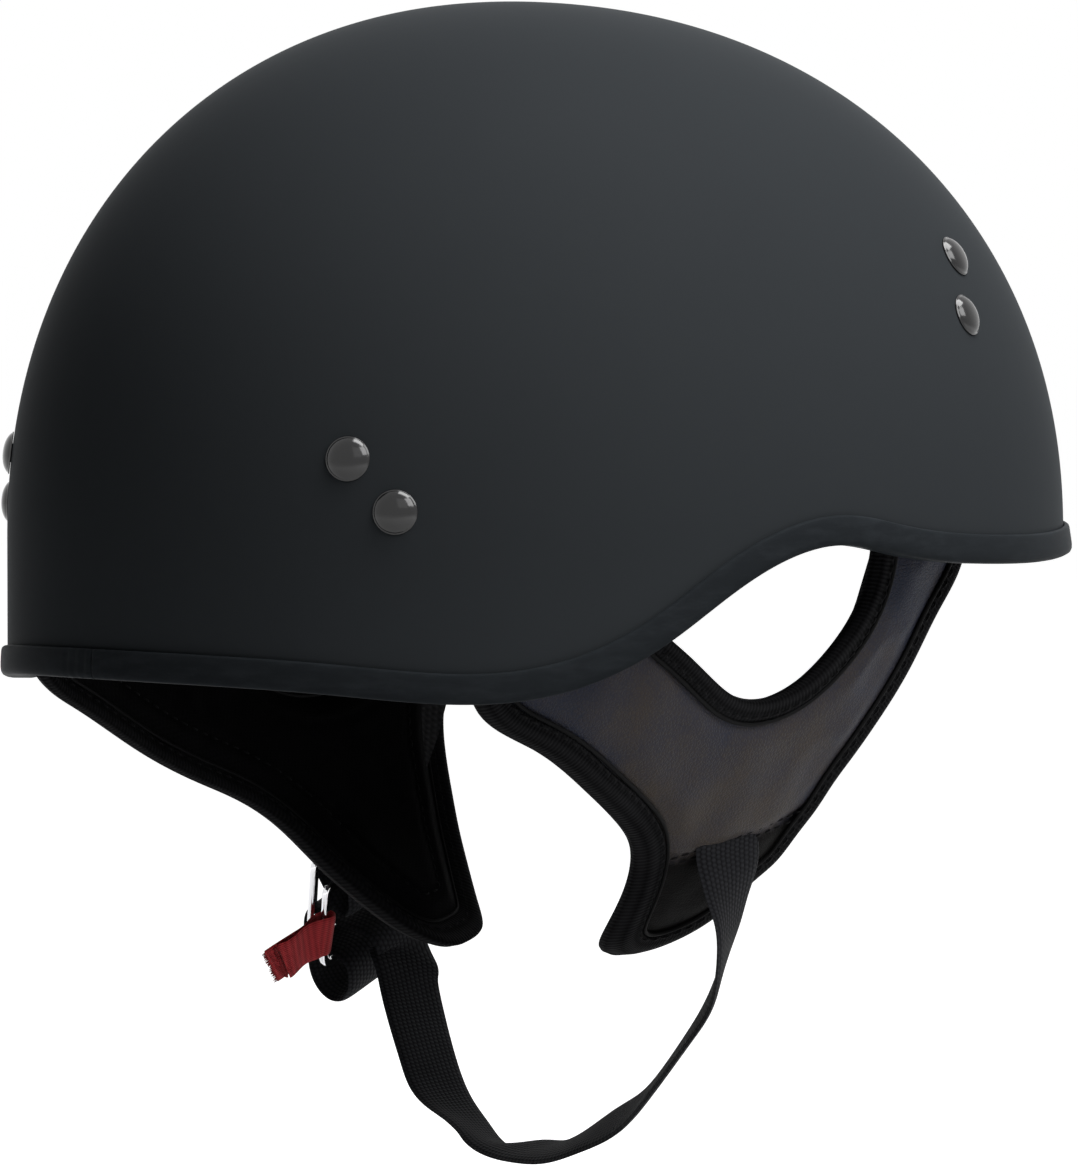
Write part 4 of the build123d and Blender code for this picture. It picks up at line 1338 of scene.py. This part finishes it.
@dataclass
class Harness:
    """The chin strap, the short strap with its rings, and the pull tab."""

    buckle: Buckle
    width: float = 20.0
    wall: float = 1.5
    tab_width: float = 10.6
    tab_wall: float = 0.62
    fray_reach: float = 4.7
    left_slot: tuple = (64.81, -8.184, -70.034)
    chin: tuple = (
        (-65.6, -6.9, -60.0, 0.0, -0.972, 0.235), (-66.2, -7.6, -64.8, 0.0, -0.972, 0.235),
        (-65.3, -8.0, -70.0, 0.0, -0.975, 0.22), (-65.3, -8.4, -76.0, 0.10, -0.975, 0.18),
        (-64.6, -9.0, -84.1, 0.38, -0.91, 0.10), (-64.2, -9.0, -90.8, 0.56, -0.83, 0.08),
        (-62.6, -9.0, -97.2, 0.62, -0.75, 0.22), (-59.8, -9.0, -104.2, 0.63, -0.71, 0.32),
        (-54.8, -8.5, -111.7, 0.54, -0.76, 0.36), (-48.9, -8.0, -118.7, 0.49, -0.80, 0.38),
        (-41.5, -7.5, -126.8, 0.47, -0.81, 0.37), (-33.9, -7.0, -133.7, 0.385, -0.82, 0.43),
        (-22.2, -7.0, -139.4, 0.20, -0.86, 0.47), (-11.0, -7.0, -144.2, 0.09, -0.93, 0.36),
        (-0.3, -7.0, -146.6, -0.018, -0.985, 0.173), (10.9, -7.2, -146.6, -0.037, -0.999, 0.03),
        (19.1, -7.7, -146.3, 0.003, -0.958, -0.288), (24.9, -8.0, -143.9, 0.04, -0.94, -0.33),
        (32.0, -8.8, -140.7, -0.02, -0.965, -0.255), (39.3, -10.0, -136.5, -0.044, -0.974, -0.223),
        (45.1, -11.6, -131.0, -0.02, -0.968, -0.24), (50.7, -13.4, -124.3, -0.02, -0.965, -0.24),
        (55.3, -15.2, -118.9, 0.0, -0.96, -0.20), (59.6, -17.0, -113.3, 0.05, -0.96, -0.10),
        (62.9, -18.3, -107.9, 0.13, -0.945, 0.10),
    )
    threaded: tuple = (
        (-10.1, -33.0), (-9.2, -29.8), (-7.3, -27.8), (-4.5, -26.9), (0.0, -26.6), (4.0, -26.2),
        (7.4, -25.1), (9.4, -24.7), (11.2, -25.6), (12.0, -27.6), (12.1, -31.0), (11.6, -33.4), (10.2, -34.9),
        (8.2, -35.25), (4.5, -35.3), (1.6, -35.9), (-0.2, -37.6), (-0.9, -40.2), (-0.8, -43.6), (0.3, -46.4),
        (2.4, -48.1), (4.8, -48.3), (7.2, -47.2), (9.3, -44.8), (10.6, -41.6), (11.1, -38.2),
    )
    loop: tuple = (
        (1.6, -4.6), (4.6, -5.7), (7.6, -7.2), (9.3, -9.4), (8.9, -12.4), (6.8, -16.2), (4.7, -19.9),
        (2.4, -23.0), (0.6, -23.9), (-0.8, -23.0), (-1.3, -20.0), (-1.2, -14.0), (-0.7, -9.6),
        (0.5, -7.3), (2.2, -6.75),
    )

    def build_chin(self) -> None:
        """The long strap, from inside the right flap, under the chin, and through both rings."""
        rows = np.concatenate([np.array(self.chin), self.buckle.stations(self.threaded)])
        chin = strap("chin_webbing", rows, self.width, self.wall)
        dress(chin, "webbing")
        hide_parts("chin_strap", "right_strap_exit")
        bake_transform(chin)

    def build_short(self) -> None:
        """The short strap: out of the left slot, round both rings' bars, and back up."""
        inside = np.array([
            (65.6, -6.9, -60.0, 0.0, -0.972, 0.235), (66.0, -7.6, -65.5, 0.0, -0.972, 0.235),
            (*self.left_slot, 0.06, -0.965, 0.26),
        ])
        rows = np.concatenate([inside, self.buckle.stations(self.loop)])
        short = strap("short_webbing", rows, self.width, self.wall, 0.6)
        dress(short, "webbing")
        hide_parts("short_strap", "left_strap_exit")
        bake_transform(short)

    @staticmethod
    def droop(x: Array) -> Array:
        """How far the ribbon sinks at a length along it: a fall that steepens past its first 3 mm."""
        past = np.clip(x - 3.0, 0.0, None)
        return -0.27 * past - 0.007 * past**2

    def build_fray(self, ends: list, across: Array) -> None:
        """Loose threads along the ribbon's two ends, each a short tapering tube bent by its sway.

        Args:
            ends: for each end, its middle and the direction in which the threads stand out.
            across: the direction of the ribbon's width.
        """
        rings, sides, threads, radius = 6, 5, 34, 0.17
        rng = np.random.default_rng(4)
        pieces, faces = [], []
        for base, way in ends:
            for offset in np.linspace(-self.fray_reach, self.fray_reach, threads):
                length = rng.uniform(0.3, 1.0)
                sway = rng.normal(size=3) * 0.06
                s = np.linspace(-0.3, 1.0, rings)[:, None]
                u = unit(across - way * (across @ way))
                line = base + u * (offset + rng.normal() * 0.08) + way * s * length + sway * s**2 * length
                r = radius * (1.0 - 0.4 * s.clip(0))
                ring = line[:, None] + r[:, None] * circle(sides, u, np.cross(way, u))
                faces += tube_faces(rings, sides, rings * sides * len(pieces))
                pieces.append(ring.reshape(-1, 3))
        fray = mesh_object("tab_fray", np.concatenate(pieces), faces)
        tidy(fray, 0.0002)
        finish(fray, "ribbon", "tab", "tab_ribbon")

    def build_tab(self) -> None:
        """The pull tab: a ribbon folded round the inner ring's rear arm, its ends sewn and frayed."""
        b = self.buckle
        place, rear, up, out = b.ring_axes(b.inner_seat, b.inner_tilt)
        arm = b.ring_half - b.ring_bar / 2.0
        middle = place + rear * arm + up * (-0.5 * b.ring_height)
        lean = math.radians(15.0)
        tail = rear * math.cos(lean) + out * math.sin(lean)
        side = out * math.cos(lean) - rear * math.sin(lean)
        flat = np.array([
            (15.8, 1.5), (12.8, 1.0), (9.5, 0.62), (6.0, 0.75), (3.0, 1.5), (0.8, 1.75), (-1.2, 1.45),
            (-1.95, 0.0), (-1.2, -1.45), (0.8, -1.75), (3.0, -1.4), (6.0, -0.62), (9.5, -0.62),
            (11.8, -0.45), (13.6, 0.1),
        ])
        path = Path(flat).even(0.5)
        centre = middle + path[:, :1] * tail + path[:, 1:] * side + self.droop(path[:, 0])[:, None] * up
        across = np.broadcast_to(unit(up - 0.12 * tail), centre.shape)
        rows = np.concatenate([centre[::2], across[::2]], axis=1)
        ribbon = strap("tab_ribbon", rows, self.tab_width, self.tab_wall, 0.4)
        finish(ribbon, "ribbon", "tab", "tab_ribbon", "pull_tab")
        ends = [(centre[0], unit(centre[0] - centre[2])), (centre[-1], unit(centre[-1] - centre[-3]))]
        self.build_fray(ends, across[0])
        for k, x in enumerate((4.2, 8.4)):
            v = np.linspace(-4.6, 4.6, 20)
            line = middle + x * tail + 1.05 * side + self.droop(x) * up + v[:, None] * across[0]
            thread = stitch_row(f"tab_stitches_{k}", line, np.broadcast_to(side, line.shape), 1.5, 1.1, 0.16)
            finish(thread, "ribbon", "tab", "tab_ribbon")

    def build(self) -> None:
        """Makes the straps, the rings and the tab."""
        self.build_chin()
        self.build_short()
        b = self.buckle
        b.build_ring("outer_ring_bar", "outer_d_ring", "outer_ring", b.outer_seat, b.outer_tilt)
        b.build_ring("inner_ring_bar", "inner_d_ring", "inner_ring", b.inner_seat, b.inner_tilt)
        self.build_tab()


# Inside of the helmet


@dataclass
class Interior:
    """The liner's finish, and the comfort pads."""

    pads: tuple = ("crown_pad", "brow_pad", "nape_pad", "right_side_pad", "left_side_pad")
    voxel: float = 4.5
    voxel_share: float = 0.55
    cap: float = 2.6
    pressure: float = 4.0
    frames: int = 20

    def build_pad(self, node: str) -> None:
        """A padded cushion: the node's shape, drawn in, blown up as cloth, and held near its place.

        Args:
            node: the CAD node that the pad stands for.
        """
        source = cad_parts[node]
        mesh = source.data.copy()
        pad = linked(f"{node}_cushion", mesh)
        pad.matrix_world = source.matrix_world.copy()
        mesh.transform(pad.matrix_world)
        pad.matrix_world.identity()
        tidy(pad, 0.01)
        bpy.context.view_layer.objects.active = pad
        remesh = pad.modifiers.new("even", "REMESH")
        remesh.mode = "VOXEL"
        remesh.voxel_size = self.voxel * MM * self.voxel_share
        self.apply(pad, remesh.name)
        ease = pad.modifiers.new("ease", "SMOOTH")
        ease.factor = 0.5
        ease.iterations = 8
        self.apply(pad, ease.name)
        self.swell(pad)
        fine = pad.modifiers.new("fine", "SUBSURF")
        fine.levels = fine.render_levels = 1
        self.apply(pad, fine.name)
        pad.data.polygons.foreach_set("use_smooth", np.ones(len(pad.data.polygons), bool))
        dress(pad, "pad")
        settle(pad, "helmet", (node,))

    @staticmethod
    def apply(obj: Thing, name: str) -> None:
        """Applies one modifier."""
        with bpy.context.temp_override(object=obj, active_object=obj, selected_objects=[obj]):
            bpy.ops.object.modifier_apply(modifier=name)

    def swell(self, pad: Thing) -> None:
        """Cloth blown up from inside for a few frames, with each point's move capped.

        Args:
            pad: the cushion, whose points are moved.
        """
        rest = np.empty(len(pad.data.vertices) * 3)
        pad.data.vertices.foreach_get("co", rest)
        cloth = pad.modifiers.new("cloth", "CLOTH")
        cloth.settings.use_pressure = True
        cloth.settings.uniform_pressure_force = self.pressure
        cloth.settings.effector_weights.gravity = 0.0
        cloth.settings.quality = 5
        scene = bpy.context.scene
        for step in range(1, self.frames + 1):
            scene.frame_set(step)
        depsgraph = bpy.context.evaluated_depsgraph_get()
        shaped = pad.evaluated_get(depsgraph).to_mesh()
        co = np.empty(len(shaped.vertices) * 3)
        shaped.vertices.foreach_get("co", co)
        pad.evaluated_get(depsgraph).to_mesh_clear()
        pad.modifiers.remove(cloth)
        scene.frame_set(1)
        move = (co - rest).reshape(-1, 3)
        size = np.linalg.norm(move, axis=1, keepdims=True)
        move *= np.minimum(1.0, self.cap * MM / np.maximum(size, 1e-9))
        pad.data.vertices.foreach_set("co", (rest.reshape(-1, 3) + move).ravel())
        pad.data.update()

    def build(self) -> None:
        """Finishes the liner and small CAD parts, and makes the pads."""
        for node, look in (("eps_liner", "foam"), ("rivet_washers", "steel"), ("flap_clips", "clip")):
            dress(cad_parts[node], look)
        for side in ("right", "left"):
            for leg in ("front", "rear"):
                dress(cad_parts[f"{side}_{leg}_strap_leg"], "pad")
        for node in self.pads:
            self.build_pad(node)


# Studio


@dataclass(frozen=True)
class Lamp:
    """A soft rectangular lamp that faces the helmet: degrees, metres and watts."""

    name: str
    azimuth: float
    elevation: float
    away: float
    size: tuple
    power: float


@dataclass
class Studio:
    """Floor, lamps, background and camera."""

    azimuth: float = 229.0
    elevation: float = 2.0
    distance: float = 1.5
    target: tuple = (-0.0036, -0.00415, -0.0113)
    lens: float = 211.6
    sensor: float = 36.0
    floor_z: float = -0.32
    floor_reach: float = 9000.0
    floor_colour: tuple = (0.62, 0.62, 0.62)
    floor_glow: tuple = (0.45, 1.25, 0.45, 1.0)
    world_light: float = 0.022
    lamps: tuple = (
        Lamp("key_right", 280.0, 36.0, 1.8, (1.1, 0.9), 20.0),
        Lamp("top_front", 308.0, 70.0, 1.8, (1.1, 1.1), 38.0),
        Lamp("fill_camera", 240.0, 30.0, 2.2, (1.2, 1.2), 2.5),
        Lamp("fill_behind", 50.0, 45.0, 2.2, (1.4, 1.2), 2.5),
    )

    @staticmethod
    def aim(obj: Thing, azimuth: float, elevation: float, away: float,
            target: tuple = (0.0, 0.0, 0.0)) -> None:
        """Puts an object at a distance from a target, facing it.

        Args:
            obj: the camera or the lamp.
            azimuth: its direction round the helmet in degrees, as the views use it.
            elevation: its direction upwards in degrees.
            away: its distance in metres.
            target: the place that it faces.
        """
        a, e = math.radians(azimuth), math.radians(elevation)
        way = Vector((math.sin(a) * math.cos(e), -math.cos(a) * math.cos(e), math.sin(e)))
        obj.location = Vector(target) + way * away
        obj.rotation_euler = way.to_track_quat("Z", "Y").to_euler()

    def build_camera(self) -> None:
        """The camera, level and without shift."""
        camera = bpy.data.cameras.new("camera")
        camera.lens = self.lens
        camera.sensor_width = self.sensor
        camera.sensor_fit = "HORIZONTAL"
        camera.clip_end = 50.0
        obj = linked("camera", camera)
        self.aim(obj, self.azimuth, self.elevation, self.distance, self.target)
        bpy.context.scene.camera = obj

    def build_lamp(self, lamp: Lamp) -> None:
        """Makes one lamp.

        Args:
            lamp: its place, size and power.
        """
        light = bpy.data.lights.new(lamp.name, "AREA")
        light.shape = "RECTANGLE"
        light.size, light.size_y = lamp.size
        light.energy = lamp.power
        self.aim(linked(lamp.name, light), lamp.azimuth, lamp.elevation, lamp.away)

    @staticmethod
    def seen(tree: Tree) -> Wire:
        """One where a camera, glossy or transmission ray arrives."""
        path = tree.nodes.new("ShaderNodeLightPath")
        rays = [Wire(tree, path.outputs[f"Is {kind} Ray"]) for kind in ("Camera", "Glossy", "Transmission")]
        return (rays[0] + rays[1] + rays[2]).ramp(0.0, 1.0)

    def build_world(self) -> None:
        """A white background, and a dimmer even light on the helmet."""
        world = bpy.data.worlds.new("studio")
        bpy.context.scene.world = world
        world.use_nodes = True
        tree = world.node_tree
        tree.nodes.clear()
        dim = add_node(tree, "Background", {"Strength": self.world_light})
        white = add_node(tree, "Background", {"Color": (1.0, 1.0, 1.0, 1.0)})
        mixed = add_node(tree, "MixShader", {0: self.seen(tree), 1: dim, 2: white})
        feed(tree, mixed, tree.nodes.new("ShaderNodeOutputWorld").inputs[0])

    def build_floor(self) -> None:
        """A wide pale floor that takes the helmet's shadow, and glows more the further away it is."""
        reach = self.floor_reach
        flat = [(-reach, -reach), (reach, -reach), (reach, reach), (-reach, reach)]
        corners = np.array([(x, y, self.floor_z / MM) for x, y in flat])
        floor = mesh_object("floor", corners, [(0, 1, 2, 3)], smooth=False)
        material = bpy.data.materials.new("pale_floor")
        material.use_nodes = True
        tree = material.node_tree
        tree.nodes.clear()
        place = add_node(tree, "NewGeometry", {}, "Position")
        apart = add_node(tree, "VectorMath", {0: place}, "Value", operation="LENGTH")
        glow = add_node(tree, "Emission", {"Strength": apart.ramp(*self.floor_glow)})
        none = add_node(tree, "Emission", {"Strength": 0.0})
        mixed = add_node(tree, "MixShader", {0: self.seen(tree), 1: none, 2: glow})
        matt = add_node(tree, "BsdfDiffuse", {"Color": opaque(self.floor_colour)})
        both = add_node(tree, "AddShader", {0: matt, 1: mixed})
        feed(tree, both, tree.nodes.new("ShaderNodeOutputMaterial").inputs[0])
        floor.data.materials.append(material)

    def build(self) -> None:
        """Sets up the whole studio."""
        bpy.context.scene.view_settings.view_transform = "Standard"
        self.build_camera()
        self.build_world()
        self.build_floor()
        for lamp in self.lamps:
            self.build_lamp(lamp)


def main() -> None:
    """Builds every piece in order."""
    logging.basicConfig(level=logging.INFO, format="%(message)s")
    Studio().build()
    bowl = Bowl()
    bowl.build_shell()
    bowl.build_trim()
    bowl.build_rivets()
    for side in Side:
        EarFlap(side, bowl).build()
    Harness(Buckle()).build()
    Interior().build()


if __name__ == "__main__":
    main()
